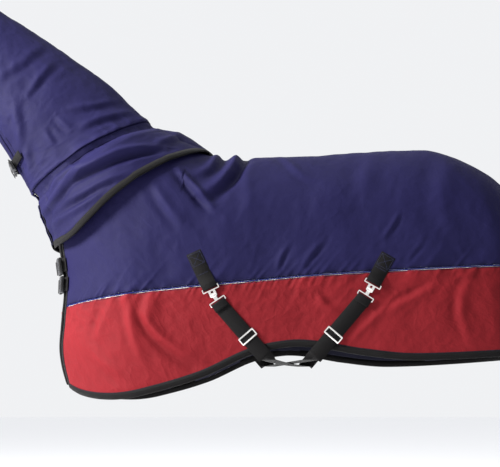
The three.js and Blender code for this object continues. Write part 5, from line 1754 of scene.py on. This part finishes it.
class RUG_OT_fit_fastenings(bpy.types.Operator):
    """Hooks, sliders and buckles"""
    bl_idname = "rug.fit_fastenings"
    bl_label = "Fit Fastenings"

    def execute(self, context):
        models = [self.fit_surcingles(), self.fit_buckles(CHEST_WEBBING, CLOSURES[:2], "rug"),
                  self.fit_buckles(THROAT_WEBBING, CLOSURES[2:], "neck_cover")]
        for model in [m for group in models for m in group]:
            bpy.data.objects.remove(model)
        for node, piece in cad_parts.items():
            if "_arm_" in node:
                piece.data.materials.clear()
                piece.data.materials.append(finish_of("plastic"))
        return {"FINISHED"}

    def fit_surcingles(self):
        plate, hook, slider = model_plate(), model_hook(), model_slider()
        for name, x, depth, _, patch_turn, hook_turn, strap_turn, _ in SURCINGLES:
            at_patch, at_hook = surcingle_frames(x, depth, patch_turn, hook_turn)
            place = lerp(near_run(at_hook, strap_turn, 0.35), near_run(at_hook, strap_turn, 0.7), 0.8)
            at_slider = framed(place, down_the(strap_turn), (0, -1, 0))
            set_hard(plate, f"{name}_slotted_plate", at_patch, "nickel", "rug", f"surcingle_{name}_plate")
            set_hard(hook, f"{name}_stud_hook", at_hook, "nickel", f"hook_{name}", f"surcingle_{name}_hook")
            set_hard(slider, f"{name}_strap_slider", at_slider, "nickel", f"slider_{name}",
                     f"surcingle_{name}_slider")
        return plate, hook, slider

    def fit_buckles(self, width, closures, body):
        half = width / 2 + 0.005 + 0.0005
        socket, plug = model_socket(half), model_plug(half)
        for name, place_at, turn, step, where, _, _, _ in closures:
            at = closure_frame(place_at, turn, step, where)
            set_hard(socket, f"{name}_buckle_socket", at, "plastic", body, f"{name}_socket")
            set_hard(plug, f"{name}_buckle_plug", at, "plastic", body, f"{name}_plug")
        return socket, plug


SEAM_ROW = 0.008  # from the panel's edge to its row of stitching
TAPE_FACE = 0.0009  # the binding tape's outer face above the quilt
TAPE_ROW = 0.0035  # from the tape's edge to its row of stitching


class RUG_OT_stitch_seams(bpy.types.Operator):
    """Rows of stitching beside the panel seams and along the bindings"""
    bl_idname = "rug.stitch_seams"
    bl_label = "Stitch Seams"

    def execute(self, context):
        for side, name in SIDES:
            t = body_stations(side, 0.006)
            _, above, _, below, _ = body_edges(t)
            rows = (("upper", above - SEAM_ROW, "navy_cloth"), ("lower", below + SEAM_ROW, "red_cloth"))
            for label, q, slot in rows:
                row = self.on_body(side, t, q, QUILT, True)
                stitches(f"{label}_seam_stitching_{name}", [row], "rug", slot)
            t, q = body_edge_path(side)
            row = self.on_body(side, t, q, QUILT + TAPE_FACE, False)
            stitches(f"hem_stitching_{name}", [(row[0] - frames_along(*row, side) * TAPE_ROW, row[1])],
                     "rug", "binding_tape")
        return {"FINISHED"}

    def on_body(self, side, t, q, lift, puckered):
        relief, pucker = body_relief(side, t, q)
        normals = form_normal(side, t, q)
        height = relief + lift + (pucker if puckered else 0)
        return form_point(side, t, q) + normals * height[:, None], normals


OPERATORS = (
    RUG_OT_set_stage, RUG_OT_cut_body_cloth, RUG_OT_bind_body, RUG_OT_fit_neck_cover,
    RUG_OT_hang_tail_flap, RUG_OT_sew_surcingles, RUG_OT_sew_closures, RUG_OT_fit_fastenings,
    RUG_OT_stitch_seams,
)


class RUG_PT_panel(bpy.types.Panel):
    """The rug's settings and the steps that make it"""
    bl_label = "Turnout Rug"
    bl_idname = "RUG_PT_panel"
    bl_space_type = "VIEW_3D"
    bl_region_type = "UI"
    bl_category = "Rug"

    def draw(self, context):
        for settings in (context.scene.rug_stage, context.scene.rug_cloth):
            for key in settings.__annotations__:
                self.layout.prop(settings, key)
        for operator in OPERATORS:
            self.layout.operator(operator.bl_idname)


CLASSES = (RugClothSettings, RugStageSettings, *OPERATORS, RUG_PT_panel)


def register():
    for made in CLASSES:
        bpy.utils.register_class(made)
    bpy.types.Scene.rug_cloth = bpy.props.PointerProperty(type=RugClothSettings)
    bpy.types.Scene.rug_stage = bpy.props.PointerProperty(type=RugStageSettings)


def unregister():
    del bpy.types.Scene.rug_stage
    del bpy.types.Scene.rug_cloth
    for made in reversed(CLASSES):
        bpy.utils.unregister_class(made)


def main():
    register()
    for operator in OPERATORS:
        group, name = operator.bl_idname.split(".")
        getattr(getattr(bpy.ops, group), name)()


if __name__ == "__main__":
    main()
